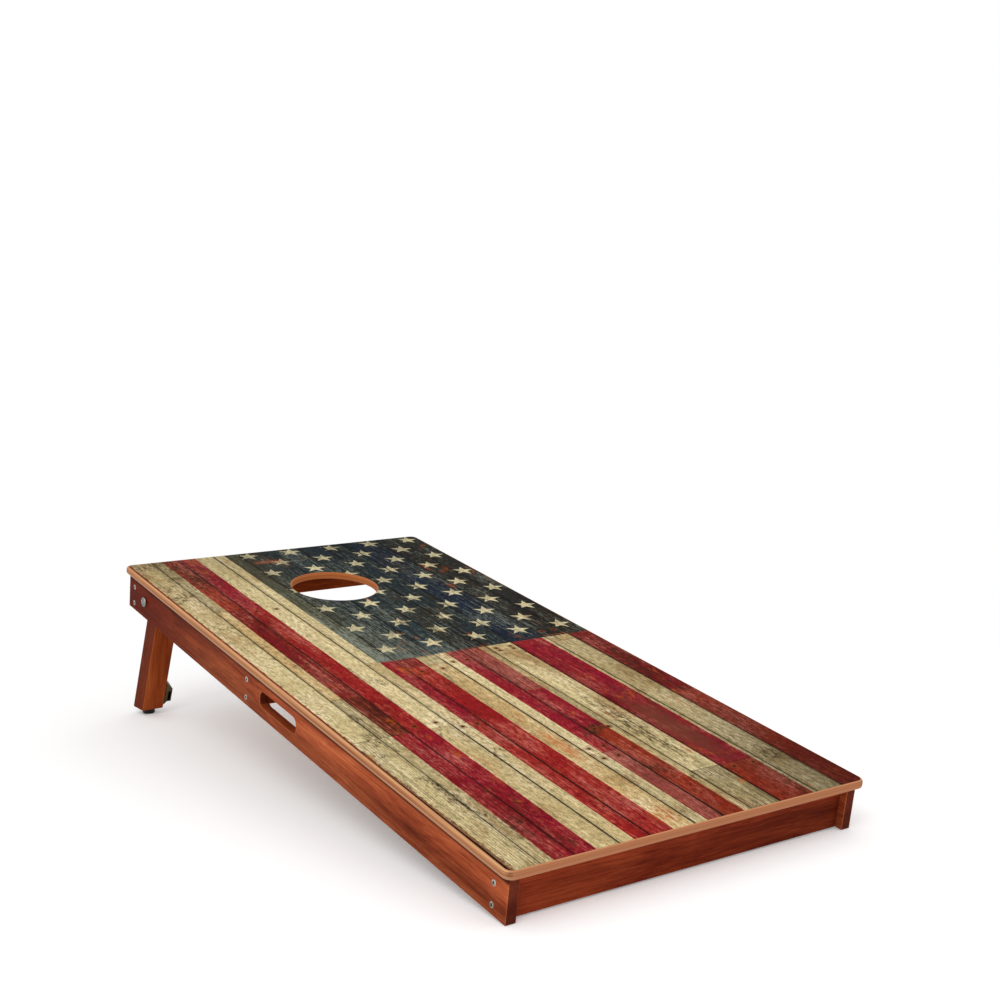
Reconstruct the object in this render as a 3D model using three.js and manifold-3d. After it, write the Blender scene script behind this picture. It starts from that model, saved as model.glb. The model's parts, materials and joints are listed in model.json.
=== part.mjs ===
// A folding cornhole board. A printed plywood deck with a toss hole is glued to a frame of two side rails,
// two aprons and a brace. It stands on the rails' front corners and on two legs, which fold up into the frame.
//
// Lengths are in millimetres. The board's own axes, inside its tilted group, are x across, y from the low front
// edge to the high back edge, and z square to the deck, with zero on the printed face.
// The part's own frame has +Z up and +Y to the back, with the floor at z = 0 under the middle of the footprint.

import * as THREE from 'three';
import { mergeVertices } from 'three/addons/utils/BufferGeometryUtils.js';
import Module from 'manifold-3d';

const kernel = await Module();
kernel.setup();

// Fits
const fitGap = 0.3;
const cutOverrun = 2;
const weldDistance = 0.0001;

// Deck panel of plywood, and the printed sheet bonded to it
const deckLength = 1219.2;
const deckWidth = 609.6;
const panelThickness = 12;
const panelCornerRadius = 14;
const panelEdgeRadius = 4;
const sheetThickness = 0.4;

// Toss hole
const holeDiameter = 152.4;
const holeCentreToBackEdge = 228.6;
const holeEdgeRadius = 2.5;

// Frame under the deck, which stands out past the rails all round
const frameHeight = 63.5;
const railThickness = 16;
const railEdgeRadius = 1.2;
const deckSideOverhang = 10.2;
const deckFrontOverhang = 9.7;
const deckBackOverhang = 3;

// Carrying slot through each rail
const handleLength = 120;
const handleHeight = 25.5;
const handleCornerRadius = 11;
const handleCentreToBackEdge = 601.4;

// Aprons at the two ends, and the brace between them
const apronThickness = 38;
const frontApronRecess = 11.8;
const rearApronRecess = 4.4;
const braceThickness = 26;
const braceCentreToBackEdge = 493.6;
const beamEdgeRadius = 1.5;

// Wood screws through the rails
const screwHeadDiameter = 9;
const screwHeadDepth = 3;
const screwShankDiameter = 4.5;
const screwLength = 50;
const screwTipLength = 6;

// Legs, and the height to which they lift the deck's back edge
const legWidth = 40;
const legDepth = 40;
const legEdgeRadius = 1.5;
const pivotToBackEdge = 74.6;
const deckBackHeight = 287;

// How far down the frame the carrying slots, the pivots and the two rows of screws lie, as shares of its height
const handleDropShare = 0.532;
const pivotDropShare = 0.5244;
const upperScrewShare = 0.337;
const lowerScrewShare = 0.803;

// Pivot bolt with its square neck, spacer, washer and lock nut
const boltShankDiameter = 8;
const boltHeadDiameter = 18;
const boltHeadHeight = 4.4;
const boltRimHeight = 1;
const boltNeckSide = 8.4;
const boltNeckLength = 5;
const boltEndProud = 2;
const spacerDiameter = 22;
const spacerThickness = 2.8;
const washerDiameter = 20;
const washerThickness = 1.6;
const nutAcrossFlats = 13;
const nutHeight = 5;
const nutCollarDiameter = 11.4;
const nutCollarHeight = 3;

// Rubber foot and its screw
const footDiameter = 22;
const footHeight = 9.8;
const footEdgeRadius = 1.5;
const footSetForward = 2.5;
const footRecessDiameter = 11;
const footRecessDepth = 5.5;
const footScrew = { headDiameter: 8, headHeight: 2.6, shankDiameter: 4, length: 24, tipLength: 4 };

// Catch on the inner side of each leg, which takes the strike's blade when the leg is folded
const catchAboveLegEnd = 13.7;
const catchLength = 41;
const catchThickness = 13;
const catchDepth = 20;
const catchLipThickness = 3;
const catchShoulderLength = 13;
const catchToeLength = 6;
const catchToeThickness = 5.5;
const mouthLength = 21;
const mouthWidth = 6;
const mouthDepth = 12;
const mouthSideWall = 1.6;
const mouthEndWall = 2;
const catchScrewSpacing = 15;
const catchScrew = { headDiameter: 5.6, headHeight: 1.8, shankDiameter: 2.8, length: 26, tipLength: 3 };

// Strike, an angle plate under the deck, and its screws
const strikeThickness = 2;
const strikeWidth = 15;
const strikeBaseLength = 28;
const strikeTipClearance = 2;
const strikeScrewEdge = 6;
const strikeScrewSpacing = 13;
const strikeScrew = { headDiameter: 6, headHeight: 1.8, shankDiameter: 3, length: 10, tipLength: 3 };

// Cross recesses in the screw heads, as shares of the head's diameter
const recessSpanShare = 0.52;
const recessWidthShare = 0.15;
const recessDepthShare = 0.2;

// How finely the round shapes are cut
const holeSteps = 72;
const cornerSteps = 3;
const roundSteps = 20;
const screwSteps = 12;
const domeSteps = 4;
const legHeadSteps = 8;
const edgeSteps = 2;

// Heights in the board's own axes
const printedFace = 0;
const panelTop = printedFace - sheetThickness - fitGap;
const panelUnderside = panelTop - panelThickness;
const frameTop = panelUnderside - fitGap;
const frameBottom = frameTop - frameHeight;
const frameMiddle = (frameTop + frameBottom) / 2;

// Places along and across the board
const railFront = deckFrontOverhang;
const railBack = deckLength - deckBackOverhang;
const railOuterFace = deckWidth / 2 - deckSideOverhang;
const railInnerFace = railOuterFace - railThickness;
const frontApronMiddle = railFront + frontApronRecess + apronThickness / 2;
const rearApronMiddle = railBack - rearApronRecess - apronThickness / 2;
const braceMiddle = deckLength - braceCentreToBackEdge;
const holeMiddle = deckLength - holeCentreToBackEdge;
const handleMiddle = deckLength - handleCentreToBackEdge;
const handleZ = frameTop - handleDropShare * frameHeight;

// Pivots, and what is stacked on each of them from the rail to the bolt's end
const pivotY = deckLength - pivotToBackEdge;
const pivotZ = frameTop - pivotDropShare * frameHeight;
const legOuterFace = railInnerFace - spacerThickness - 2 * fitGap;
const legInnerFace = legOuterFace - legWidth;
const washerFace = legInnerFace - fitGap - washerThickness;
const nutFace = washerFace - fitGap;
const boltHeadSeat = railOuterFace + fitGap;
const boltLength = boltHeadSeat - nutFace + nutHeight + nutCollarHeight + boltEndProud;
const pivotBore = boltShankDiameter + 2 * fitGap;

// The open leg's back face bears on the round lower inner edge of the rear apron, which sets its lean
const stopBehindPivot = rearApronMiddle - apronThickness / 2 + beamEdgeRadius - pivotY;
const stopBelowPivot = pivotZ - frameBottom - beamEdgeRadius;
const stopToLegMiddle = legDepth / 2 + fitGap + beamEdgeRadius;
const stopReach = Math.hypot(stopBehindPivot, stopBelowPivot);
const legLean = Math.acos(stopToLegMiddle / stopReach) - Math.atan2(stopBelowPivot, stopBehindPivot);

// The tilt that lifts the deck's back edge to its height, with the rails' front corners on the floor
const backEdgeReach = Math.hypot(deckLength - railFront, printedFace - frameBottom);
const backEdgeAngle = Math.atan2(printedFace - frameBottom, deckLength - railFront);
const boardTilt = Math.asin(deckBackHeight / backEdgeReach) - backEdgeAngle;

// The leg is cut level with the floor, just above its foot
const legSlope = legLean + boardTilt;
const pivotHeight = (pivotY - railFront) * Math.sin(boardTilt) + (pivotZ - frameBottom) * Math.cos(boardTilt);
const legCutHeight = footHeight + fitGap;
const footScrewInLeg = footScrew.length - (footHeight - footRecessDepth);
const footY = -footSetForward;

// Catch, in the leg's axes, with its mouth open at the leg's front
const legFront = -legDepth / 2;
const catchBottom = legEnd(legFront) + catchAboveLegEnd;
const catchTop = catchBottom + catchLength;
const catchSeat = legWidth / 2 + fitGap;
const catchScrewY = legFront + (mouthDepth + catchDepth) / 2;
const mouthMiddle = catchBottom + mouthEndWall + mouthLength / 2;
const mouthToSeat = catchThickness - mouthSideWall - mouthWidth / 2;
const catchScrewRows = [
  { word: 'upper', height: mouthMiddle + catchScrewSpacing / 2 },
  { word: 'lower', height: mouthMiddle - catchScrewSpacing / 2 },
];

// Strike, whose blade hangs where the folded leg brings the middle of the mouth
const strikeBladeX = legInnerFace - fitGap - mouthToSeat + strikeThickness / 2;
const strikeY = pivotY + mouthMiddle;
const strikeTop = panelUnderside - fitGap;
const strikeTip = pivotZ - legFront - mouthDepth + strikeTipClearance;
const strikeHeadSeat = strikeTop - strikeThickness - fitGap;
const strikeScrewEnds = [
  { word: 'inner', x: strikeBladeX - strikeBaseLength + strikeScrewEdge },
  { word: 'outer', x: strikeBladeX - strikeBaseLength + strikeScrewEdge + strikeScrewSpacing },
];

// What the frame's screws join, and their two rows
const crossMembers = [
  { name: 'front_apron', word: 'front', middle: frontApronMiddle, thickness: apronThickness },
  { name: 'centre_brace', word: 'middle', middle: braceMiddle, thickness: braceThickness },
  { name: 'rear_apron', word: 'rear', middle: rearApronMiddle, thickness: apronThickness },
];
const screwRows = [
  { word: 'upper', height: frameTop - upperScrewShare * frameHeight },
  { word: 'lower', height: frameTop - lowerScrewShare * frameHeight },
];
const boardSides = [
  { word: 'left', side: -1 },
  { word: 'right', side: 1 },
];

// Materials
function finish(color, roughness, metalness) {
  return new THREE.MeshStandardMaterial({ color, roughness, metalness });
}

const printFinish = finish(0x8f7c63, 0.55, 0);
const plywoodFinish = finish(0xc08a56, 0.6, 0);
const stainedWoodFinish = finish(0x7d3219, 0.5, 0);
const zincFinish = finish(0xc9c9c4, 0.35, 0.9);
const bronzeFinish = finish(0x4a4028, 0.45, 0.7);
const rubberFinish = finish(0x141414, 0.85, 0);

// Solids, cuts and joins

function solidOf(geometry) {
  const bare = geometry.index ? geometry.toNonIndexed() : geometry.clone();
  bare.deleteAttribute('normal');
  bare.deleteAttribute('uv');
  const welded = mergeVertices(bare, weldDistance);
  const vertProperties = new Float32Array(welded.attributes.position.array);
  const triVerts = new Uint32Array(welded.index.array);
  return new kernel.Manifold(new kernel.Mesh({ numProp: 3, vertProperties, triVerts }));
}

function geometryOf(body) {
  const mesh = body.getMesh();
  const geometry = new THREE.BufferGeometry();
  geometry.setAttribute('position', new THREE.BufferAttribute(mesh.vertProperties, 3));
  geometry.setIndex(new THREE.BufferAttribute(mesh.triVerts, 1));
  geometry.computeVertexNormals();
  return geometry;
}

function cut(geometry, tools) {
  const body = tools.reduce((rest, tool) => rest.subtract(solidOf(tool)), solidOf(geometry));
  return geometryOf(body);
}

function join(geometries) {
  const body = geometries.map(solidOf).reduce((sum, next) => sum.add(next));
  return geometryOf(body);
}

// The mirror image across x = 0 for side +1, with its faces turned back outwards, and the piece itself for -1.
function forSide(geometry, side) {
  if (side < 0) return geometry;
  const mirrored = geometry.clone().scale(-1, 1, 1);
  const corners = mirrored.index.array;
  for (let first = 0; first < corners.length; first += 3) {
    [corners[first + 1], corners[first + 2]] = [corners[first + 2], corners[first + 1]];
  }
  mirrored.computeVertexNormals();
  return mirrored;
}

// Outlines and simple forms

function polygon(points) {
  return new THREE.Shape(points.map(([x, y]) => new THREE.Vector2(x, y)));
}

// A rectangle with round corners, centred on its own origin.
function roundedRectangle(width, height, radius) {
  const shape = new THREE.Shape();
  const right = width / 2 - radius;
  const top = height / 2 - radius;
  const quarter = Math.PI / 2;
  shape.absarc(right, top, radius, 0, quarter);
  shape.absarc(-right, top, radius, quarter, 2 * quarter);
  shape.absarc(-right, -top, radius, 2 * quarter, 3 * quarter);
  shape.absarc(right, -top, radius, 3 * quarter, 4 * quarter);
  return shape;
}

function movedPoints(shape, x, y, steps) {
  return shape.getPoints(steps).map((point) => new THREE.Vector2(point.x + x, point.y + y));
}

// A slab from z = 0 up, whose two faces have their edges rounded by edgeRadius.
function slab(outline, depth, edgeRadius, curveSegments, bevelSegments) {
  const geometry = new THREE.ExtrudeGeometry(outline, {
    depth: depth - 2 * edgeRadius,
    curveSegments,
    bevelEnabled: edgeRadius > 0,
    bevelThickness: edgeRadius,
    bevelSize: edgeRadius,
    bevelOffset: -edgeRadius,
    bevelSegments,
  });
  return geometry.translate(0, 0, edgeRadius);
}

// Lays a slab drawn in x and y across the board: x turns to y, y to z, and its depth is centred on x = 0.
function laidAcross(geometry, depth) {
  const alongX = new THREE.Vector3(1, 0, 0);
  const alongY = new THREE.Vector3(0, 1, 0);
  const alongZ = new THREE.Vector3(0, 0, 1);
  const turn = new THREE.Matrix4().makeBasis(alongY, alongZ, alongX);
  return geometry.applyMatrix4(turn).translate(-depth / 2, 0, 0);
}

// Points what was drawn along +z out to the left for side -1 and to the right for side +1.
function pointedOut(geometry, side) {
  return geometry.rotateY((side * Math.PI) / 2);
}

// A turned solid about z. Its profile lists [radius, height], from axis to axis or round a ring.
function turned(profile, steps) {
  const points = profile.map(([radius, height]) => new THREE.Vector2(radius, height));
  return new THREE.LatheGeometry(points, steps).rotateX(Math.PI / 2);
}

function rod(diameter, from, to, steps) {
  const radius = diameter / 2;
  return turned([[0, from], [radius, from], [radius, to], [0, to]], steps);
}

function ring(outerDiameter, innerDiameter, thickness) {
  const outer = outerDiameter / 2;
  const inner = innerDiameter / 2;
  const profile = [[inner, 0], [outer, 0], [outer, thickness], [inner, thickness], [inner, 0]];
  return turned(profile, roundSteps);
}

function addPiece(group, name, geometry, material, x, y, z) {
  const mesh = new THREE.Mesh(geometry, material.clone());
  mesh.name = name;
  mesh.position.set(x, y, z);
  group.add(mesh);
}

// Screws, drawn along z with their tips down

function crossRecess(headDiameter, headTop) {
  const span = headDiameter * recessSpanShare;
  const width = headDiameter * recessWidthShare;
  const depth = headDiameter * recessDepthShare + cutOverrun;
  const middle = headTop + cutOverrun - depth / 2;
  const bar = new THREE.BoxGeometry(span, width, depth).translate(0, 0, middle);
  const crossBar = new THREE.BoxGeometry(width, span, depth).translate(0, 0, middle);
  return [bar, crossBar];
}

// A countersunk wood screw whose flat head ends at z = 0.
function frameScrewGeometry() {
  const head = screwHeadDiameter / 2;
  const shank = screwShankDiameter / 2;
  const profile = [
    [0, -screwLength],
    [shank, screwTipLength - screwLength],
    [shank, -screwHeadDepth],
    [head, 0],
    [0, 0],
  ];
  return cut(turned(profile, screwSteps), crossRecess(screwHeadDiameter, 0));
}

function frameScrewHole() {
  const head = screwHeadDiameter / 2 + fitGap;
  const shank = screwShankDiameter / 2 + fitGap;
  const bottom = -screwLength - fitGap;
  const profile = [
    [0, bottom],
    [shank, bottom],
    [shank, -screwHeadDepth],
    [head, 0],
    [head, cutOverrun],
    [0, cutOverrun],
  ];
  return turned(profile, screwSteps);
}

// A pan-head screw whose head sits on z = 0.
function panScrewGeometry({ headDiameter, headHeight, shankDiameter, length, tipLength }) {
  const head = headDiameter / 2;
  const shank = shankDiameter / 2;
  const crown = headHeight / 2;
  const profile = [
    [0, -length],
    [shank, tipLength - length],
    [shank, 0],
    [head, 0],
    [head, headHeight - crown],
    [head - crown, headHeight],
    [0, headHeight],
  ];
  return cut(turned(profile, screwSteps), crossRecess(headDiameter, headHeight));
}

function screwBore({ shankDiameter }, from, to) {
  return rod(shankDiameter + 2 * fitGap, from, to, screwSteps);
}

// Deck

function deckOutline(inset) {
  const width = deckWidth - 2 * inset;
  const length = deckLength - 2 * inset;
  const edge = roundedRectangle(width, length, panelCornerRadius - inset);
  return new THREE.Shape(movedPoints(edge, 0, deckLength / 2, cornerSteps));
}

// What is cut from the panel for the hole. It widens towards both faces, which leaves the hole's edges round.
function holeCutter() {
  const wide = holeDiameter / 2 + holeEdgeRadius;
  const lower = [];
  const upper = [];
  for (let step = 0; step <= edgeSteps; step += 1) {
    const angle = (step / edgeSteps) * (Math.PI / 2);
    const radius = wide - holeEdgeRadius * Math.sin(angle);
    const rise = holeEdgeRadius * (1 - Math.cos(angle));
    lower.push([radius, panelUnderside + rise]);
    upper.unshift([radius, panelTop - rise]);
  }
  const bottom = panelUnderside - cutOverrun;
  const top = panelTop + cutOverrun;
  const profile = [[0, bottom], [wide, bottom], ...lower, ...upper, [wide, top], [0, top]];
  return turned(profile, holeSteps).translate(0, holeMiddle, 0);
}

function addDeckPanel(board) {
  const panel = slab(deckOutline(0), panelThickness, panelEdgeRadius, cornerSteps, edgeSteps);
  panel.translate(0, 0, panelUnderside);
  const screwEnd = strikeHeadSeat + strikeScrew.length + fitGap;
  const pilots = [];
  for (const { side } of boardSides) {
    for (const { x } of strikeScrewEnds) {
      pilots.push(screwBore(strikeScrew, strikeHeadSeat, screwEnd).translate(side * x, strikeY, 0));
    }
  }
  addPiece(board, 'deck_panel', cut(panel, [holeCutter(), ...pilots]), plywoodFinish, 0, 0, 0);
}

function addPrintedSheet(board) {
  const bottom = printedFace - sheetThickness;
  const sheet = slab(deckOutline(panelEdgeRadius), sheetThickness, 0, cornerSteps, 0).translate(0, 0, bottom);
  const hole = rod(holeDiameter + 2 * holeEdgeRadius, bottom - cutOverrun, printedFace + cutOverrun, holeSteps);
  addPiece(board, 'printed_sheet', cut(sheet, [hole.translate(0, holeMiddle, 0)]), printFinish, 0, 0, 0);
}

// Rails, aprons and brace

function frameScrewHoles(side, middle) {
  const hole = pointedOut(frameScrewHole(), side).translate(side * railOuterFace, middle, 0);
  return screwRows.map(({ height }) => hole.clone().translate(0, 0, height));
}

function pivotHoles(side) {
  const neckSide = boltNeckSide + 2 * fitGap;
  const neckDepth = boltNeckLength + fitGap;
  const shankHole = rod(pivotBore, -boltLength, cutOverrun, roundSteps);
  const neckHole = new THREE.BoxGeometry(neckSide, neckSide, neckDepth + cutOverrun);
  neckHole.translate(0, 0, (cutOverrun - neckDepth) / 2);
  return [shankHole, neckHole].map((hole) => {
    return pointedOut(hole, side).translate(side * railOuterFace, pivotY, pivotZ);
  });
}

function addRail(board, word, side) {
  const middle = (railFront + railBack) / 2;
  const halfLength = (railBack - railFront) / 2;
  const halfHeight = frameHeight / 2;
  const outline = polygon([
    [-halfLength, -halfHeight],
    [halfLength, -halfHeight],
    [halfLength, halfHeight],
    [-halfLength, halfHeight],
  ]);
  const slot = roundedRectangle(handleLength, handleHeight, handleCornerRadius);
  const slotPoints = movedPoints(slot, handleMiddle - middle, handleZ - frameMiddle, cornerSteps);
  outline.holes.push(new THREE.Path(slotPoints));
  const rail = laidAcross(slab(outline, railThickness, railEdgeRadius, cornerSteps, edgeSteps), railThickness);
  rail.translate(side * (railOuterFace - railThickness / 2), middle, frameMiddle);
  const screwHoles = crossMembers.flatMap((member) => frameScrewHoles(side, member.middle));
  const drilled = cut(rail, [...screwHoles, ...pivotHoles(side)]);
  addPiece(board, `${word}_side_rail`, drilled, stainedWoodFinish, 0, 0, 0);
}

function addCrossMember(board, { name, middle, thickness }) {
  const length = 2 * (railInnerFace - fitGap);
  const outline = roundedRectangle(thickness, frameHeight, beamEdgeRadius);
  const beam = laidAcross(slab(outline, length, 0, edgeSteps, 0), length);
  beam.translate(0, middle, frameMiddle);
  const screwHoles = boardSides.flatMap(({ side }) => frameScrewHoles(side, middle));
  addPiece(board, name, cut(beam, screwHoles), stainedWoodFinish, 0, 0, 0);
}

function addFrameScrews(board, boardSide, side) {
  for (const { word, middle } of crossMembers) {
    for (const row of screwRows) {
      const name = `${boardSide}_${word}_screw_${row.word}`;
      const screw = pointedOut(frameScrewGeometry(), side);
      addPiece(board, name, screw, zincFinish, side * railOuterFace, middle, row.height);
    }
  }
}

// Pivot bolt, spacer, washer and lock nut

// A dome-head bolt along z, with its head's underside at z = 0.
function boltGeometry() {
  const head = boltHeadDiameter / 2;
  const shank = boltShankDiameter / 2;
  const profile = [[0, -boltLength], [shank, -boltLength], [shank, 0], [head, 0]];
  for (let step = 0; step < domeSteps; step += 1) {
    const angle = (step / domeSteps) * (Math.PI / 2);
    const rise = (boltHeadHeight - boltRimHeight) * Math.sin(angle);
    profile.push([head * Math.cos(angle), boltRimHeight + rise]);
  }
  profile.push([0, boltHeadHeight]);
  const neck = new THREE.BoxGeometry(boltNeckSide, boltNeckSide, boltNeckLength);
  neck.translate(0, 0, -boltNeckLength / 2);
  return join([turned(profile, roundSteps), neck]);
}

function lockNutGeometry() {
  const corners = 6;
  const cornerRadius = nutAcrossFlats / 2 / Math.cos(Math.PI / corners);
  const points = [];
  for (let corner = 0; corner < corners; corner += 1) {
    const angle = (corner / corners) * 2 * Math.PI;
    points.push([cornerRadius * Math.cos(angle), cornerRadius * Math.sin(angle)]);
  }
  const body = slab(polygon(points), nutHeight, 0, 1, 0);
  const collar = rod(nutCollarDiameter, 0, nutHeight + nutCollarHeight, roundSteps);
  const bore = rod(pivotBore, -cutOverrun, nutHeight + nutCollarHeight + cutOverrun, roundSteps);
  return cut(join([body, collar]), [bore]);
}

function addPivotHardware(board, word, side) {
  const stack = [
    { name: 'pivot_bolt', geometry: pointedOut(boltGeometry(), side), seat: boltHeadSeat },
    {
      name: 'pivot_spacer',
      geometry: pointedOut(ring(spacerDiameter, pivotBore, spacerThickness), side),
      seat: legOuterFace + fitGap,
    },
    {
      name: 'nut_washer',
      geometry: pointedOut(ring(washerDiameter, pivotBore, washerThickness), side),
      seat: washerFace,
    },
    { name: 'lock_nut', geometry: pointedOut(lockNutGeometry(), -side), seat: nutFace },
  ];
  for (const { name, geometry, seat } of stack) {
    addPiece(board, `${word}_${name}`, geometry, zincFinish, side * seat, pivotY, pivotZ);
  }
}

// Legs, each in its own turned group: the origin is on the pivot, -z runs down the leg and +y is its back

// The height of the leg's level cut at a distance y behind the pivot.
function legEnd(y) {
  return (legCutHeight - pivotHeight - y * Math.sin(legSlope)) / Math.cos(legSlope);
}

function legGeometry(side) {
  const half = legDepth / 2;
  const outline = new THREE.Shape();
  outline.absarc(0, 0, half, 0, Math.PI);
  outline.lineTo(-half, legEnd(-half));
  outline.lineTo(half, legEnd(half));
  const leg = laidAcross(slab(outline, legWidth, legEdgeRadius, legHeadSteps, edgeSteps), legWidth);
  const pivotHole = rod(pivotBore, -legWidth, legWidth, roundSteps).rotateY(Math.PI / 2);
  const footPilot = screwBore(footScrew, -cutOverrun, footScrewInLeg + fitGap);
  footPilot.rotateX(-legSlope).translate(0, footY, legEnd(footY));
  const catchScrewInLeg = catchScrew.length - catchThickness;
  const catchPilots = catchScrewRows.map(({ height }) => {
    const pilot = screwBore(catchScrew, legWidth / 2 - catchScrewInLeg, legWidth / 2 + cutOverrun);
    return pointedOut(pilot, -side).translate(0, catchScrewY, height);
  });
  return cut(leg, [pivotHole, footPilot, ...catchPilots]);
}

// The foot stands on z = 0 in a group that is level with the floor.
function addFoot(leg, word) {
  const ankle = new THREE.Group();
  ankle.rotation.x = -legSlope;
  ankle.position.set(0, footY, legEnd(footY));
  leg.add(ankle);
  const outer = footDiameter / 2;
  const recess = footRecessDiameter / 2;
  const bore = footScrew.shankDiameter / 2 + fitGap;
  const profile = [
    [bore, footRecessDepth],
    [recess, footRecessDepth],
    [recess, 0],
    [outer - footEdgeRadius, 0],
    [outer, footEdgeRadius],
    [outer, footHeight],
    [bore, footHeight],
    [bore, footRecessDepth],
  ];
  addPiece(ankle, `${word}_foot`, turned(profile, roundSteps), rubberFinish, 0, 0, -legCutHeight);
  const screw = panScrewGeometry(footScrew).rotateX(Math.PI);
  const screwSeat = footRecessDepth - fitGap - legCutHeight;
  addPiece(ankle, `${word}_foot_screw`, screw, zincFinish, 0, 0, screwSeat);
}

// A left leg's catch, with its back on x = 0. Its outline lists [distance from the leg, height along the leg].
function catchGeometry() {
  const outline = polygon([
    [0, catchTop],
    [0, catchBottom - catchToeLength],
    [catchToeThickness, catchBottom],
    [catchThickness, catchBottom],
    [catchThickness, catchTop - catchShoulderLength],
    [catchLipThickness, catchTop],
  ]);
  const housing = slab(outline, catchDepth, 0, 1, 0).rotateX(Math.PI / 2);
  housing.translate(0, legFront + catchDepth, 0);
  const mouth = new THREE.BoxGeometry(mouthWidth, mouthDepth + cutOverrun, mouthLength);
  mouth.translate(mouthToSeat, legFront + (mouthDepth - cutOverrun) / 2, mouthMiddle);
  const bores = catchScrewRows.map(({ height }) => {
    const bore = screwBore(catchScrew, -cutOverrun, catchThickness + cutOverrun);
    return pointedOut(bore, 1).translate(0, catchScrewY, height);
  });
  return cut(housing, [mouth, ...bores]);
}

function addCatch(leg, word, side) {
  addPiece(leg, `${word}_catch`, forSide(catchGeometry(), side), bronzeFinish, -side * catchSeat, 0, 0);
  const headSeat = catchSeat + catchThickness + fitGap;
  for (const row of catchScrewRows) {
    const screw = pointedOut(panScrewGeometry(catchScrew), -side);
    const name = `${word}_catch_screw_${row.word}`;
    addPiece(leg, name, screw, zincFinish, -side * headSeat, catchScrewY, row.height);
  }
}

function addLeg(board, word, side) {
  const leg = new THREE.Group();
  leg.position.set(side * (legOuterFace - legWidth / 2), pivotY, pivotZ);
  leg.rotation.x = legLean;
  board.add(leg);
  addPiece(leg, `${word}_leg`, legGeometry(side), stainedWoodFinish, 0, 0, 0);
  addFoot(leg, word);
  addCatch(leg, word, side);
}

// Strikes

// A right-hand strike in the board's axes, with its base running from the blade to the middle of the board.
function strikeGeometry() {
  const base = strikeTop - strikeThickness;
  const outline = polygon([
    [strikeBladeX, strikeTop],
    [strikeBladeX - strikeBaseLength, strikeTop],
    [strikeBladeX - strikeBaseLength, base],
    [strikeBladeX - strikeThickness, base],
    [strikeBladeX - strikeThickness, strikeTip],
    [strikeBladeX, strikeTip],
  ]);
  const plate = slab(outline, strikeWidth, 0, 1, 0).rotateX(Math.PI / 2);
  plate.translate(0, strikeY + strikeWidth / 2, 0);
  const bores = strikeScrewEnds.map(({ x }) => {
    return screwBore(strikeScrew, base - cutOverrun, strikeTop + cutOverrun).translate(x, strikeY, 0);
  });
  return cut(plate, bores);
}

function addStrike(board, word, side) {
  addPiece(board, `${word}_strike`, forSide(strikeGeometry(), -side), bronzeFinish, 0, 0, 0);
  for (const end of strikeScrewEnds) {
    const screw = panScrewGeometry(strikeScrew).rotateX(Math.PI);
    const name = `${word}_strike_screw_${end.word}`;
    addPiece(board, name, screw, zincFinish, side * end.x, strikeY, strikeHeadSeat);
  }
}

// The whole board, tilted, standing on the floor and centred front to back

const board = new THREE.Group();
addDeckPanel(board);
addPrintedSheet(board);
for (const member of crossMembers) {
  addCrossMember(board, member);
}
for (const { word, side } of boardSides) {
  addRail(board, word, side);
  addFrameScrews(board, word, side);
  addPivotHardware(board, word, side);
  addLeg(board, word, side);
  addStrike(board, word, side);
}
board.rotation.x = boardTilt;
board.position.z = -railFront * Math.sin(boardTilt) - frameBottom * Math.cos(boardTilt);
board.updateMatrixWorld(true);
const footprint = new THREE.Box3().setFromObject(board, true);
board.position.y = -(footprint.min.y + footprint.max.y) / 2;

const cornholeBoard = new THREE.Group();
cornholeBoard.add(board);

export default cornholeBoard;
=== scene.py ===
import json
import math
import random

import bmesh
import bpy
from mathutils import Matrix, Vector
from mathutils.geometry import tessellate_polygon


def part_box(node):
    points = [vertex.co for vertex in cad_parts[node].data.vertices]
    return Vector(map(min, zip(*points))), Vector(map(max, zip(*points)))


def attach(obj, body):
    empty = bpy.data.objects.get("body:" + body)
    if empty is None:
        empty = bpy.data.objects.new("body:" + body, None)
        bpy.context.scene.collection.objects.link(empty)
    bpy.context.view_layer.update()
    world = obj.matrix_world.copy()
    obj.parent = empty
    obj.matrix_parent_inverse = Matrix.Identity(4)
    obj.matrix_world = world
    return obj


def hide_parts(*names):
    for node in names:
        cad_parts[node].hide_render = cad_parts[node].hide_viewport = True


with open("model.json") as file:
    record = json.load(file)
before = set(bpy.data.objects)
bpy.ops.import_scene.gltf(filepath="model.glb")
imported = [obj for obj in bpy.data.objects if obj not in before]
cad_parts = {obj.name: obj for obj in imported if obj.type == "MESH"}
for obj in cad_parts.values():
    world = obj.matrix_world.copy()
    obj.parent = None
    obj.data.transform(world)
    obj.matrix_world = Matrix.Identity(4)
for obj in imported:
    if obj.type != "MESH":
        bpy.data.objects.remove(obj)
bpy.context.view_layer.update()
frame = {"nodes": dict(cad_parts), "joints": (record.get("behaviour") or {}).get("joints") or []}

sides = {"left": -1, "right": 1}
print("Frame loaded")


# Places read from the frame

def cadMesh(nodeName):
    return frame["nodes"][nodeName].data


def broadNormal(nodeName):
    # The way that a node's largest face looks, among those that don't look sideways.
    faces = [face for face in cadMesh(nodeName).polygons if abs(face.normal.x) < 0.5]
    return max(faces, key=lambda face: face.area).normal


def turnedBox(nodeName, turn):
    # A node's lowest and highest corners, measured along turned axes.
    back = turn.inverted()
    places = [back @ vertex.co for vertex in cadMesh(nodeName).vertices]
    lowest = Vector([min(place[axis] for place in places) for axis in range(3)])
    highest = Vector([max(place[axis] for place in places) for axis in range(3)])
    return lowest, highest


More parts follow.
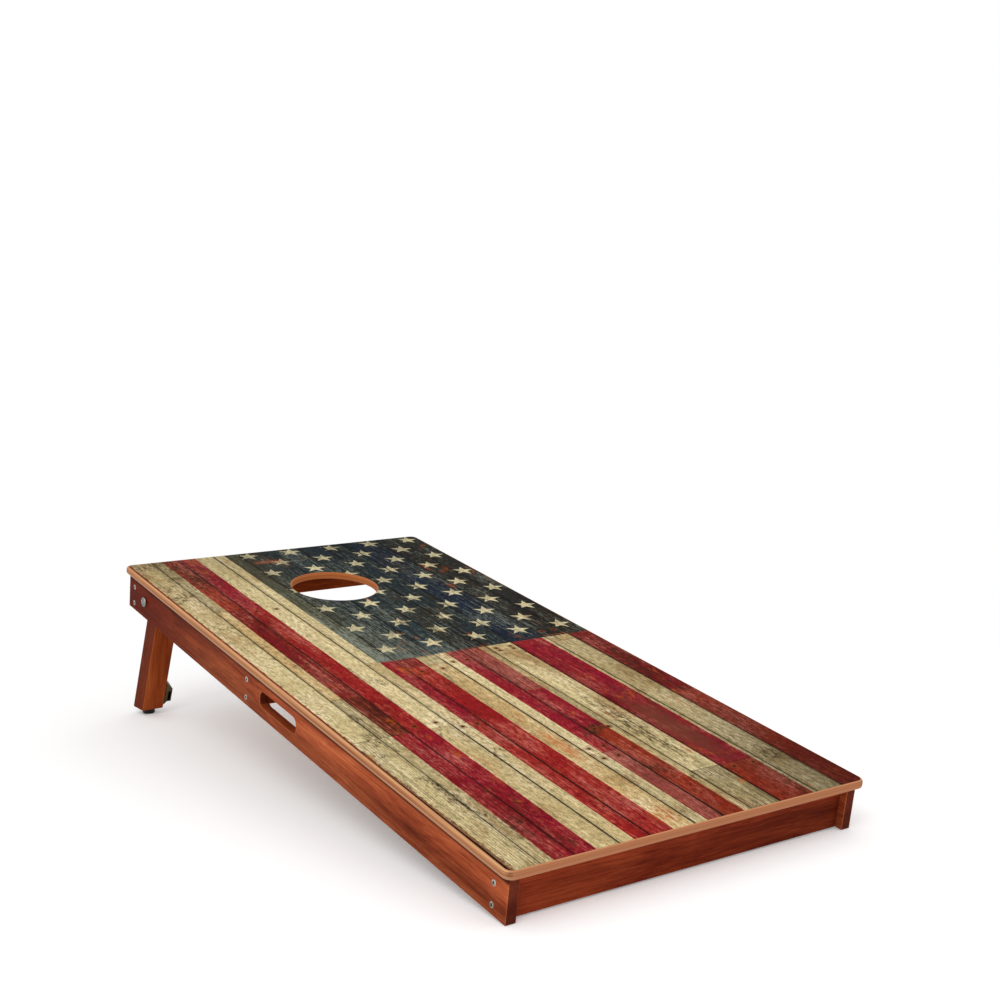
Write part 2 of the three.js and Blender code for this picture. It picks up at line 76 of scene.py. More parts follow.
deckNormal = broadNormal("printed_sheet")
legNormal = broadNormal("left_leg")
deckTilt = math.atan2(abs(deckNormal.y), abs(deckNormal.z))
legTilt = math.atan2(abs(legNormal.z), abs(legNormal.y))
deckTurn = Matrix.Rotation(deckTilt, 4, "X")
legTurn = Matrix.Rotation(legTilt, 4, "X")
deckLow, deckHigh = turnedBox("deck_panel", deckTurn)
sheetLow, sheetHigh = turnedBox("printed_sheet", deckTurn)
# Turns an outline drawn on x and y upright: onto y and z, with its thickness along x, or onto x and z.
uprightTurns = (
    Matrix(((0, 0, 1, 0), (1, 0, 0, 0), (0, 1, 0, 0), (0, 0, 0, 1))),
    Matrix.Rotation(math.pi / 2, 4, "X"),
)


# Camera, floor and lamps

view = {
    "place": (-1.2624, -2.0112, 0.7039),
    "right": (0.82226, -0.56900, -0.01140),
    "up": (0.07433, 0.08751, 0.99339),
    "back": (-0.56424, -0.81767, 0.11425),
    "lens": 53.98,
    "sensor": 36.0,
}


def addCamera():
    camera = bpy.data.cameras.new("viewCamera")
    camera.lens = view["lens"]
    camera.sensor_width = view["sensor"]
    holder = bpy.data.objects.new("viewCamera", camera)
    columns = [Vector(view[name]) for name in ("right", "up", "back")]
    turn = Matrix(columns).transposed().to_4x4()
    holder.matrix_world = Matrix.Translation(view["place"]) @ turn
    bpy.context.scene.collection.objects.link(holder)
    bpy.context.scene.camera = holder


def hue(tone):
    # A tone in three steps of 255, made linear. Four shares are a colour already.
    if len(tone) == 4:
        return tone
    shares = [value / 255 for value in tone]
    return (*(share / 12.92 if share <= 0.04045 else ((share + 0.055) / 1.055) ** 2.4 for share in shares), 1)


# Small helpers for node trees. They add to the tree that was begun last.

work = {}


def begin(tree):
    work["tree"] = tree
    return tree


def sign(operation):
    return lambda *terms: sums(operation, *terms)


class nodeValue:
    # A node's output that stands in plain sums. Each sign adds the node that works it out.
    def __init__(self, node, output=0):
        self.socket = node.outputs[output]
        self.isVector = self.socket.type in ("VECTOR", "RGBA")

    __add__ = sign("ADD")
    __sub__ = sign("SUBTRACT")
    __mul__ = sign("MULTIPLY")
    __truediv__ = sign("DIVIDE")
    __lt__ = sign("LESS_THAN")
    __gt__ = sign("GREATER_THAN")
    __abs__ = sign("ABSOLUTE")

    def __rsub__(self, other):
        return sums("SUBTRACT", other, self)


def addNode(kind, inputs=None, **settings):
    node = work["tree"].nodes.new(kind)
    for name, value in settings.items():
        setattr(node, name, value)
    for name, value in (inputs or {}).items():
        feed(node.inputs[name], value)
    return node


def feed(socket, value):
    # A node stands for its first output, and a tone is made linear.
    if isinstance(value, bpy.types.Node):
        value = value.outputs[0]
    value = getattr(value, "socket", value)
    if isinstance(value, bpy.types.NodeSocket):
        work["tree"].links.new(value, socket)
    else:
        socket.default_value = hue(value) if socket.type == "RGBA" else value


def sums(operation, *terms):
    # A sum of numbers or of vectors. A vector times a number is the vector scaled.
    vectors = [isinstance(term, tuple) or getattr(term, "isVector", False) for term in terms]
    if not any(vectors):
        return nodeValue(addNode("ShaderNodeMath", dict(enumerate(terms)), operation=operation))
    if operation == "MULTIPLY" and not all(vectors):
        return nodeValue(addNode("ShaderNodeVectorMath", {0: terms[0], "Scale": terms[1]}, operation="SCALE"))
    node = addNode("ShaderNodeVectorMath", dict(enumerate(terms)), operation=operation)
    return nodeValue(node, "Value" if operation == "LENGTH" else "Vector")


def clamped(term):
    term.socket.node.use_clamp = True
    return term


def split(vector):
    node = addNode("ShaderNodeSeparateXYZ", {0: vector})
    return [nodeValue(node, axis) for axis in range(3)]


def combine(x=0.0, y=0.0, z=0.0):
    return nodeValue(addNode("ShaderNodeCombineXYZ", {0: x, 1: y, 2: z}))


def captured(geometry, items):
    # Keeps values on a geometry and gives it and them. Items are {label: (kind, value)}.
    node = addNode("GeometryNodeCaptureAttribute")
    for label, (kind, value) in items.items():
        node.capture_items.new(kind, label)
    feed(node.inputs["Geometry"], geometry)
    for label, (kind, value) in items.items():
        feed(node.inputs[label], value)
    return [node] + [nodeValue(node, label) for label in items]


def shapeTree(name, inputs):
    # A Geometry Nodes tree with named inputs. Each input is (socket type, first value).
    tree = begin(bpy.data.node_groups.new(name, "GeometryNodeTree"))
    for way in ("OUTPUT", "INPUT"):
        tree.interface.new_socket("Geometry", in_out=way, socket_type="NodeSocketGeometry")
    for label, (kind, value) in inputs.items():
        socket = tree.interface.new_socket(label, in_out="INPUT", socket_type=kind)
        if value is not None:
            socket.default_value = value
    node = addNode("NodeGroupInput")
    return tree, {socket.name: nodeValue(node, place) for place, socket in enumerate(node.outputs)}


def finishTree(geometry, finish):
    whole = addNode("GeometryNodeRealizeInstances", {0: geometry})
    painted = addNode("GeometryNodeSetMaterial", {"Geometry": whole, "Material": finish})
    feed(addNode("NodeGroupOutput").inputs[0], painted)


def plainMesh(holder, name, allLayers=True):
    # Applies an object's modifiers and removes the object.
    bpy.context.view_layer.update()
    graph = bpy.context.evaluated_depsgraph_get()
    whole = holder.evaluated_get(graph)
    mesh = bpy.data.meshes.new_from_object(whole, preserve_all_data_layers=allLayers, depsgraph=graph)
    mesh.name = name
    bpy.data.objects.remove(holder)
    return mesh


def grown(source, tree, values, name):
    # Runs a tree on an object and gives its plain mesh. The object itself is removed.
    modifier = source.modifiers.new("shape", "NODES")
    modifier.node_group = tree
    for socket in tree.interface.items_tree:
        if socket.in_out == "INPUT" and socket.name in values:
            modifier[socket.identifier] = values[socket.name]
    source.update_tag()
    return plainMesh(source, name, False)


def addObject(name, data):
    holder = bpy.data.objects.new(name, data)
    bpy.context.scene.collection.objects.link(holder)
    return holder


def smoothed(mesh, crease):
    # Rounded edges shade smoothly and broad faces stay flat: a larger face has more say in each normal.
    limit = math.cos(math.radians(crease))
    around = [[] for vertex in mesh.vertices]
    faces = [(face.normal.copy(), face.area, tuple(face.vertices)) for face in mesh.polygons]
    for normal, area, corners in faces:
        for corner in corners:
            around[corner].append((normal, area))
    normals = []
    for normal, area, corners in faces:
        for corner in corners:
            total = Vector()
            for otherNormal, otherArea in around[corner]:
                if normal.dot(otherNormal) > limit:
                    total += otherNormal * otherArea
            normals.append(total.normalized() if total.length > 0 else normal)
    mesh.polygons.foreach_set("use_smooth", [True] * len(mesh.polygons))
    mesh.normals_split_custom_set(normals)


# How sharply faces may meet and still shade as one, in degrees
creases = {"plain": 40, "foot": 35, "catch": 30, "screw": 30}


def addPiece(name, mesh, replaced, body="board", crease=creases["plain"]):
    smoothed(mesh, crease)
    piece = addObject(name, mesh)
    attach(piece, body)
    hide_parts(*replaced)


# Outlines

def easedOutline(corners, steps=6):
    # A closed outline with its corners rounded. Each corner is (x, y, radius).
    points = []
    for index, (x, y, radius) in enumerate(corners):
        corner = Vector((x, y))
        if radius <= 0:
            points.append(corner)
            continue
        toLast = (Vector(corners[index - 1][:2]) - corner).normalized()
        toNext = (Vector(corners[(index + 1) % len(corners)][:2]) - corner).normalized()
        half = toLast.angle(toNext) / 2
        middle = corner + (toLast + toNext).normalized() * (radius / math.sin(half))
        start = corner + toLast * (radius / math.tan(half)) - middle
        end = corner + toNext * (radius / math.tan(half)) - middle
        sweep = math.atan2(start.x * end.y - start.y * end.x, start.dot(end))
        for step in range(steps + 1):
            turn = Matrix.Rotation(sweep * step / steps, 2)
            points.append(middle + turn @ start)
    return points


def rectangle(low, high, radius, steps=6):
    corners = [(low[0], low[1]), (high[0], low[1]), (high[0], high[1]), (low[0], high[1])]
    return easedOutline([(x, y, radius) for x, y in corners], steps)


def arc(middle, reach, first, last, steps):
    # Points from one turn to another on a circle, or on an ellipse with two reaches.
    turns = [first + (last - first) * step / steps for step in range(steps + 1)]
    return [(middle[0] + reach[0] * math.cos(turn), middle[1] + reach[1] * math.sin(turn)) for turn in turns]


def circle(middle, radius, steps):
    return [Vector(point) for point in arc(middle, (radius, radius), 0, 2 * math.pi, steps)[:-1]]


def addCurve(name, loops, closed=True):
    # Loops are (points, radius). The radius says how far an edge is eased.
    curve = bpy.data.curves.new(name, "CURVE")
    curve.dimensions = "3D"
    for points, radius in loops:
        spline = curve.splines.new("POLY")
        spline.points.add(len(points) - 1)
        for target, (x, y) in zip(spline.points, points):
            target.co = (x, y, 0, 1)
            target.radius = radius
        spline.use_cyclic_u = closed
    return addObject(name, curve)


# Boards with eased edges: a wall that follows the outline and its holes, with a flat cap on each face

def easedBoardTree():
    tree, given = shapeTree("easedBoard", {
        "Thickness": ("NodeSocketFloat", 0.012),
        "Edge Steps": ("NodeSocketInt", 6),
        "Finish": ("NodeSocketMaterial", None),
    })
    steps = given["Edge Steps"]
    upright = addNode("GeometryNodeSetCurveNormal", {"Curve": given["Geometry"]}, mode="Z_UP")
    path, place, aside, easing = captured(upright, {
        "place": ("VECTOR", addNode("GeometryNodeInputPosition")),
        "aside": ("VECTOR", addNode("GeometryNodeInputNormal")),
        "easing": ("FLOAT", addNode("GeometryNodeInputRadius")),
    })
    line = addNode("GeometryNodeMeshLine", {"Count": steps * 2.0 + 2.0, "Offset": (0, 0, 1)})
    index = addNode("GeometryNodeInputIndex")
    profile, step = captured(addNode("GeometryNodeMeshToCurve", {0: line}), {"step": ("FLOAT", index)})

    # Each half of the wall turns through a quarter circle at its own end of the thickness.
    wall = addNode("GeometryNodeCurveToMesh", {0: path, "Profile Curve": profile})
    above = step < steps + 0.5
    angle = (steps + 1.0 - step - above) * (math.pi / 2) / steps
    inset = easing * (1.0 - sums("COSINE", angle))
    half = given["Thickness"] * 0.5
    height = easing * sums("SINE", angle) + (above * 2.0 - 1.0) * (half - easing)
    wallPlace = place - aside * inset + combine(z=height)
    walls = addNode("GeometryNodeSetPosition", {0: wall, "Position": wallPlace})

    capLine = addNode("GeometryNodeSetPosition", {0: path, "Position": place - aside * easing})
    cap = addNode("GeometryNodeFillCurve", {0: capLine}, mode="TRIANGLES")
    up = combine(z=half)
    top = addNode("GeometryNodeTransform", {0: cap, "Translation": up})
    turned = addNode("GeometryNodeFlipFaces", {0: cap})
    bottom = addNode("GeometryNodeTransform", {0: turned, "Translation": up * -1.0})
    parts = addNode("GeometryNodeJoinGeometry")
    for part in (walls, top, bottom):
        feed(parts.inputs[0], part)
    finishTree(addNode("GeometryNodeMergeByDistance", {0: parts, "Distance": 0.00001}), given["Finish"])
    return tree


# Screws, bolts, nuts and other round pieces: a profile turned round its axis and set on every marked point

def turnedSetTree():
    tree, given = shapeTree("turnedSet", {
        "Profile": ("NodeSocketObject", None),
        "Steps": ("NodeSocketInt", 32),
        "Head Height": ("NodeSocketFloat", 0.0),
        "Recess Reach": ("NodeSocketFloat", 0.0),
        "Recess Width": ("NodeSocketFloat", 0.001),
        "Recess Depth": ("NodeSocketFloat", 0.001),
        "Spin": ("NodeSocketFloat", 0.0),
        "Seed": ("NodeSocketInt", 3),
        "Finish": ("NodeSocketMaterial", None),
    })
    profile = addNode("GeometryNodeObjectInfo", {"Object": given["Profile"]}).outputs["Geometry"]
    outline, reach = captured(profile, {"reach": ("VECTOR", addNode("GeometryNodeInputPosition"))})
    loop = addNode("GeometryNodeCurvePrimitiveCircle", {"Resolution": given["Steps"], "Radius": 1.0})
    ring, way = captured(loop, {"way": ("VECTOR", addNode("GeometryNodeInputPosition"))})
    skin = addNode("GeometryNodeCurveToMesh", {0: ring, "Profile Curve": outline})
    way = split(way)
    reach = split(reach)
    place = combine(way[0] * reach[0], way[1] * reach[0], reach[1])
    turned = addNode("GeometryNodeSetPosition", {0: skin, "Position": place})
    welded = addNode("GeometryNodeMergeByDistance", {0: turned, "Distance": 0.000001})
    closed = addNode("GeometryNodeFlipFaces", {0: welded})

    # A cross recess is cut where its reach is more than nothing.
    cutters = addNode("GeometryNodeMeshBoolean", operation="DIFFERENCE")
    feed(cutters.inputs["Mesh 1"], closed)
    sizes = [given["Recess Reach"], given["Recess Width"]]
    for length, width in (sizes, sizes[::-1]):
        arm = addNode("GeometryNodeMeshCube", {"Size": combine(length, width, given["Recess Depth"] * 2.0)})
        lift = combine(z=given["Head Height"])
        feed(cutters.inputs["Mesh 2"], addNode("GeometryNodeTransform", {0: arm, "Translation": lift}))
    crossed = given["Recess Reach"] > 0.0
    either = addNode("GeometryNodeSwitch", {"Switch": crossed, "False": closed, "True": cutters})

    aim = addNode("GeometryNodeInputNamedAttribute", {"Name": "aim"}, data_type="FLOAT_VECTOR")
    facing = addNode("FunctionNodeAlignRotationToVector", {"Vector": aim}, axis="Z")
    chance = nodeValue(addNode("FunctionNodeRandomValue", {"Seed": given["Seed"]}, data_type="FLOAT"), 1)
    spin = {"Axis": (0, 0, 1), "Angle": chance * given["Spin"]}
    spun = addNode("FunctionNodeAxisAngleToRotation", spin)
    both = addNode("FunctionNodeRotateRotation", {0: facing, 1: spun}, rotation_space="LOCAL")
    marks = {"Points": given["Geometry"], "Instance": either, "Rotation": both}
    finishTree(addNode("GeometryNodeInstanceOnPoints", marks), given["Finish"])
    return tree


boardTree = easedBoardTree()
turnedTree = turnedSetTree()


def easedBoard(name, loops, thickness, finish, edgeSteps):
    values = {"Thickness": thickness, "Edge Steps": edgeSteps, "Finish": finish}
    return grown(addCurve(name, loops), boardTree, values, name)


def uprightBoard(name, loops, axis, low, high, finish, edgeSteps):
    # A board from low to high along x or y, the axis that its outline isn't drawn on.
    mesh = easedBoard(name, loops, high - low, finish, edgeSteps)
    middle = Vector()
    middle[axis] = (low + high) / 2
    mesh.transform(Matrix.Translation(middle) @ uprightTurns[axis])
    return mesh


def turnedSet(name, marks, profile, finish, steps, spin=0.0, recess=None):
    # Marks are (place, way that the piece's top looks). The profile holds (reach from the axis, height).
    profileHolder = addCurve(name, [(profile, 1.0)], False)
    points = bpy.data.meshes.new(name)
    points.from_pydata([place for place, aim in marks], [], [])
    aims = points.attributes.new("aim", "FLOAT_VECTOR", "POINT")
    for item, (place, aim) in zip(aims.data, marks):
        item.vector = aim
    values = {"Profile": profileHolder, "Steps": steps, "Spin": spin, "Finish": finish}
    values["Head Height"] = max(height for reach, height in profile)
    values.update(recess or {})
    mesh = grown(addObject(name, points), turnedTree, values, name)
    bpy.data.objects.remove(profileHolder)
    return mesh


def anticlockwise(points):
    area = sum(one.x * two.y - one.y * two.x for one, two in zip(points, points[1:] + points[:1]))
    return points if area > 0 else list(reversed(points))


def without(mesh, cutter, name):
    # The mesh with the cutter's mesh cut away.
    tool = addObject("cutter", cutter)
    holder = addObject(name, mesh)
    step = holder.modifiers.new("cut", "BOOLEAN")
    step.operation = "DIFFERENCE"
    step.solver = "EXACT"
    step.object = tool
    result = plainMesh(holder, name)
    bpy.data.objects.remove(tool)
    return result


def joined(meshes, name):
    form = bmesh.new()
    for mesh in meshes:
        form.from_mesh(mesh)
    whole = bpy.data.meshes.new(name)
    form.to_mesh(whole)
    form.free()
    whole.materials.append(meshes[0].materials[0])
    return whole


print("Shape trees built")


# Small helpers for finishes

def newFinish(name, color=(0.5, 0.5, 0.5, 1), roughness=0.5, **settings):
    finish = bpy.data.materials.new(name)
    finish.use_nodes = True
    shader = begin(finish.node_tree).nodes["Principled BSDF"]
    settings.update({"Base Color": color, "Roughness": roughness})
    for label, value in settings.items():
        feed(shader.inputs[label.replace("_", " ")], value)
    return finish, shader


def paint(shader, color, roughness, height, distance, strength):
    bump = addNode("ShaderNodeBump", {"Height": height, "Distance": distance, "Strength": strength})
    for label, value in (("Base Color", color), ("Roughness", roughness), ("Normal", bump)):
        feed(shader.inputs[label], value)


def turnedPlace(angle, origin=(0, 0, 0)):
    # Object coordinates along axes tilted by an angle about x, counted from an origin on those axes.
    place = addNode("ShaderNodeTexCoord").outputs["Object"]
    shift = {"Vector": place, "Rotation": (-angle, 0, 0), "Location": [-value for value in origin]}
    return nodeValue(addNode("ShaderNodeMapping", shift, vector_type="POINT"))


def turnedNormal(angle):
    look = {"Vector": addNode("ShaderNodeTexCoord").outputs["Normal"], "Rotation": (-angle, 0, 0)}
    return split(addNode("ShaderNodeMapping", look, vector_type="VECTOR"))


def cloud(place, factors, detail, rough, twist=0.0, shift=(0, 0, 0)):
    # Noise with its own number of lumps to the metre along each axis.
    spread = {"Vector": place * factors + shift, "Scale": 1.0, "Detail": detail}
    spread.update({"Roughness": rough, "Distortion": twist})
    return nodeValue(addNode("ShaderNodeTexNoise", spread))


def eased(value, low, high, toLow=0.0, toHigh=1.0):
    # Goes smoothly from toLow to toHigh as the value goes from low to high.
    spread = {"Value": value, "From Min": low, "From Max": high, "To Min": toLow, "To Max": toHigh}
    return nodeValue(addNode("ShaderNodeMapRange", spread, interpolation_type="SMOOTHSTEP"))


def ramp(value, stops, interpolation="LINEAR"):
    # Stops are (place from 0 to 1, tone).
    node = addNode("ShaderNodeValToRGB", {0: value})
    colors = node.color_ramp
    colors.interpolation = interpolation
    while len(colors.elements) < len(stops):
        colors.elements.new(1.0)
    for element, (position, tone) in zip(colors.elements, stops):
        element.position = position
    for element, (position, tone) in zip(colors.elements, stops):
        element.color = hue(tone)
    return nodeValue(node)


def blend(share, first, second, mode="MIX"):
    node = addNode("ShaderNodeMix", data_type="RGBA", blend_type=mode)
    for place, value in (("Factor", share), (6, first), (7, second)):
        feed(node.inputs[place], value)
    return nodeValue(node, 2)


# Print: weathered planks, painted with stripes and with a field of stars

printed = {
    "halfWidth": 0.3048,
    "stripeEdges": [-0.2995, -0.236, -0.172, -0.114, -0.049, 0.008, 0.073, 0.136, 0.201, 0.255],
    "fieldLeft": -0.114,
    "fieldFront": 0.6345,
    "starFirst": (-0.073, 0.6814),
    "starPitch": (0.0434, 0.05145),
    "starCounts": (9, 11),
    "starReach": 0.0222,
    "starWaist": 0.382,
    "starEdge": 0.0004,
    "plankEdges": [-0.2555, -0.205, -0.1355, -0.0865, -0.0118, 0.0385, 0.0882, 0.1405, 0.210, 0.2582],
    "runOn": 0.05,
    # The narrowest joint, what chance adds to it and how soft its sides are
    "joint": (0.0003, 0.001, 0.0006),
    # Nails: their share of a plank's width, their way from its end with what chance adds, and two soft radii
    "nailAside": 0.24,
    "nailAhead": (0.008, 0.012),
    "nailDot": (0.002, 0.0032),
    "nailHalo": (0.0015, 0.0095),
    "nailedFrom": 0.7,
    "plankCuts": [
        [-0.222, 0.323],
        [-0.222, -0.080, 0.323],
        [-0.222, 0.323],
        [-0.222, 0.030],
        [-0.013, 0.023],
        [-0.385, 0.003, 0.380],
        [-0.305, -0.158, 0.030],
        [-0.484, -0.014, 0.027],
        [-0.484, -0.012, 0.027],
        [0.002, 0.031],
        [-0.250, 0.150],
    ],
    # Where each stain lies, how far it reaches, its tone, its most and the least that grit leaves of it
    "stains": [
        (0.112, 0.27, 0.020, 0.17, (66, 54, 30), 0.9, 0.0),
        (-0.030, 0.27, 0.013, 0.06, (206, 116, 54), 0.95, 0.0),
        (-0.035, 0.04, 0.022, 0.03, (178, 92, 36), 0.8, 0.0),
        (-0.052, 1.155, 0.040, 0.011, (176, 96, 58), 0.95, 0.0),
        (-0.270, 1.195, 0.045, 0.030, (112, 80, 60), 0.8, 0.0),
        (0.168, 0.25, 0.034, 0.15, (104, 58, 40), 0.85, 0.8),
    ],
    "seed": 57216,
}
creams = [(160, 142, 98), (190, 166, 116), (208, 188, 136), (226, 206, 156), (196, 156, 98)]
reds = [(144, 12, 42), (156, 26, 30), (112, 20, 24), (158, 54, 30), (170, 88, 78), (108, 46, 28)]
blues = [(26, 48, 58), (12, 40, 72), (46, 60, 66), (58, 56, 44), (32, 25, 18), (18, 34, 44)]


def starShare(place, worn):
    # 1 inside a star. Stars stand on two like grids, half a pitch apart, each with one point to the right.
    point = 2 * math.pi / 5
    waist = printed["starWaist"] * printed["starReach"]
    tip = Vector((printed["starReach"], 0))
    side = Vector((waist * math.cos(point / 2), waist * math.sin(point / 2))) - tip
    outward = Vector((side.y, -side.x)).normalized()
    pitch = [2 * step for step in printed["starPitch"]]
    shares = []
    for grid in (0, 1):
        local = []
        for axis in (0, 1):
            first = printed["starFirst"][axis] + grid * printed["starPitch"][axis]
            cell = (place[axis] - first) / pitch[axis] + 0.5
            local.append((sums("FRACT", cell) - 0.5) * pitch[axis])
        turn = sums("ARCTAN2", local[1], local[0]) / point
        angle = abs(sums("FRACT", turn + 5.5) - 0.5) * point
        reach = sums("LENGTH", combine(*local))
        x = reach * sums("COSINE", angle) - tip.x
        y = reach * sums("SINE", angle)
        outside = x * outward.x + y * outward.y
        shares.append(eased(outside + worn, -printed["starEdge"], printed["starEdge"], 1.0, 0.0))
    share = sums("MAXIMUM", *shares)
    for axis in (0, 1):
        first = printed["starFirst"][axis]
        half = printed["starPitch"][axis] / 2
        last = first + (printed["starCounts"][axis] - 1) * printed["starPitch"][axis]
        share = share * (place[axis] > first - half) * (place[axis] < last + half)
    return share


def printFinish():
    finish, shader = newFinish("weatheredPrint", roughness=0.55, Specular_IOR_Level=0.012)
    place = turnedPlace(deckTilt, (0, deckLow.y, deckHigh.z))
    chance = nodeValue(addNode("ShaderNodeAttribute", attribute_name="plankChance"), "Vector")
    luck = split(chance)
    across, along = (split(addNode("ShaderNodeUVMap", uv_map=name)) for name in ("acrossPlank", "alongPlank"))
    plankPlace = place + chance * 9.0
    axes = split(place)

    fibre = cloud(plankPlace, (420, 9, 1), 5, 0.65, 0.3)
    streak = cloud(plankPlace, (90, 2.5, 1), 3, 0.6)
    fine = cloud(place, (620, 360, 1), 4, 0.7)
    coarse = cloud(place, (210, 80, 1), 4, 0.7, 0.3, (1, 6, 0))
    patch = cloud(place, (13, 6, 1), 4, 0.62, 0.6, (3, 1, 0))
    mottle = cloud(place, (70, 34, 1), 5, 0.65, 0.4, (7, 2, 0))

    # Each plank keeps a tone of its own, and the paint changes a little over it.
    drift = clamped((patch + mottle) * 1.1 - 0.6)
    paints = []
    for axis, (drifted, tones) in enumerate(((0.45, creams), (0.3, reds), (0.4, blues))):
        stops = [(index / len(tones), tone) for index, tone in enumerate(tones)]
        paints.append(blend(drifted, ramp(luck[axis], stops, "CONSTANT"), ramp(drift, stops)))
    cream, red, blue = paints
    drifted = patch * 0.12 + axes[0]
    blue = blend(eased(drifted, -0.05, 0.04, 0.65, 0.0), blue, (92, 88, 66))
    blue = blend(eased(drifted, 0.2, 0.32, 0.0, 0.6), blue, (52, 42, 28))
    blue *= eased(axes[0], 0.02, 0.12, 1.0, 0.78)

    wobble = mottle * 0.0024 - 0.0012
    half = printed["halfWidth"]
    stops = [(0.0, (1, 1, 1, 1))]
    for index, edge in enumerate(printed["stripeEdges"]):
        stops.append(((edge + half) / (2 * half), (0, 0, 0, 1) if index % 2 == 0 else (1, 1, 1, 1)))
    stripe = ramp((axes[0] + wobble + half) / (2 * half), stops, "CONSTANT")
    inField = (axes[0] + wobble > printed["fieldLeft"]) * (axes[1] + wobble > printed["fieldFront"])
    worn = (coarse + fibre) * 0.004 - 0.004
    star = starShare(axes, worn)

    # Paint is rubbed thin along the fibres, more in some places than in others.
    thin = fibre * 0.6 + (coarse * 0.45 + patch * 0.5)
    wearAndHighlight = eased(thin, 0.76, 0.98)
    leftward = eased(axes[1] * 0.5 + axes[0], 0.22, 0.46, 0.14, 0.0)
    scratched = eased(thin + leftward, 0.76, 1.0)
    redWorn = blend(wearAndHighlight * 0.55, red, (206, 132, 112))
    blueWorn = blend(scratched * 0.7, blue, (142, 150, 136))
    creamWorn = blend(wearAndHighlight * 0.7, cream, (238, 224, 188))
    starPaint = blend(0.65, creamWorn, (240, 230, 186))
    wood = blend(stripe, creamWorn, redWorn)
    rimReach = sums("MINIMUM", axes[1], 0.5) * 0.013 + (coarse * 0.016 + axes[0])
    wood = blend(eased(rimReach, -0.286, -0.2815, 0.85, 0.0), wood, (118, 64, 38))
    wood = blend(inField, wood, blueWorn)
    starShown = eased(patch * 0.6 + mottle, 0.6, 0.86, 0.6, 1.0)
    wood = blend(star * inField * starShown, wood, starPaint)

    # Wavy year rings, fibres, grit and pits, deep on some planks and faint on others
    waves = {"Vector": plankPlace * (1, 0.1, 1), "Scale": 84.0, "Distortion": 7.0, "Detail": 2.0}
    waves.update({"Detail Scale": 0.7, "Detail Roughness": 0.6})
    wavy = addNode("ShaderNodeTexWave", waves, bands_direction="X").outputs["Fac"]
    rings = eased(wavy, 0.35, 0.9) * eased(luck[1], 0.45, 0.75, 0.06, 0.42)
    wood *= 1.04 - rings
    wood *= 1.04 - eased(fibre, 0.6, 0.38) * eased(luck[1], 0.5, 0.95, 0.14, 0.5)
    wood *= streak * 0.6 + 0.7
    wood *= eased(coarse, 0.34, 0.58, 0.62, 1.06)
    wood *= eased(fine, 0.34, 0.58, 0.66, 1.1)

    # Brown and dark stains
    brown = eased(cloud(place, (7, 3.2, 1), 5, 0.7, 1.2, (11, 5, 0)), 0.5, 0.7)
    wood = blend(brown * 0.6, wood, (170, 122, 74), "MULTIPLY")
    soot = eased(cloud(place, (10, 5, 1), 6, 0.75, 1.0, (23, 9, 0)), 0.54, 0.66)
    wood = blend(soot * eased(coarse, 0.62, 0.4, 0.1, 0.85), wood, (52, 42, 26))
    rust = eased(cloud(place, (16, 7, 1), 5, 0.7, 1.0, (31, 17, 0)), 0.59, 0.7)
    wood = blend(rust * eased(mottle, 0.4, 0.6, 0.2, 0.85), wood, (182, 86, 26))

    grit = eased(coarse + fibre, 0.86, 1.12, 1.0, 0.1)
    for x, y, reachX, reachY, tone, most, evenShare in printed["stains"]:
        offset = (place - (x, y, 0)) * (1 / reachX, 1 / reachY, 0)
        away = sums("LENGTH", offset) + mottle
        spread = eased(away, 0.8, 1.6, most, 0.0) * sums("MAXIMUM", grit, evenShare)
        wood = blend(spread, wood, tone)

    # Age darkens the back edge, the right edge and most of all the front right corner.
    toBack = eased(axes[1] + patch * 0.1, 1.02, 1.3, 1.0, 0.72)
    toRight = eased(axes[0] + patch * 0.06, 0.18, 0.4, 1.0, 0.85)
    corner = sums("LENGTH", combine(axes[0] - half, axes[1] * 0.55))
    toCorner = eased(corner, 0.02, 0.24, 0.42, 1.0)
    wood *= toBack * toRight * toCorner

    # Joints between planks, their ends and the nails
    width = across[0] + across[1]
    aside = sums("MINIMUM", across[0], across[1])
    ahead = sums("MINIMUM", along[0], along[1])
    ragged = cloud(place, (60, 30, 1), 4, 0.7, 0, (5, 3, 0)) * 0.0012 - 0.0006
    narrow, more, soft = printed["joint"]
    gap = luck[2] * more + narrow
    joint = eased(aside + ragged, gap, gap + soft, 1.0, 0.0)
    wood *= eased(aside, 0.0, 0.007, 0.72, 1.0)
    wood = blend(joint * 0.94, wood, (14, 10, 7))
    rimGap = eased(axes[1] * 0.008 + axes[0], -0.2976, -0.297, 0.95, 0.0)
    wood = blend(rimGap, wood, (12, 8, 6))
    cut = eased(ahead + ragged, 0.0004, 0.0012, 1.0, 0.0)
    cutTone = ramp(luck[0], [(0.0, (24, 12, 8)), (0.55, (84, 38, 18)), (0.8, (164, 80, 30))], "CONSTANT")
    wood = blend(cut * eased(luck[1], 0.1, 0.6, 0.3, 0.9), wood, cutTone)
    least, more = printed["nailAhead"]
    nail = sums("LENGTH", combine(aside - width * printed["nailAside"], ahead - (luck[0] * more + least)))
    nailed = luck[2] > printed["nailedFrom"]
    wood = blend(eased(nail, *printed["nailHalo"], 0.75, 0.0) * nailed, wood, (118, 58, 24))
    wood = blend(eased(nail, *printed["nailDot"], 0.95, 0.0) * nailed, wood, (26, 16, 12))

    paint(shader, wood, eased(mottle, 0.2, 0.8, 0.5, 0.7), fibre * 0.5 - joint, 0.00012, 0.5)
    return finish


# Plywood, with its plies showing on every edge

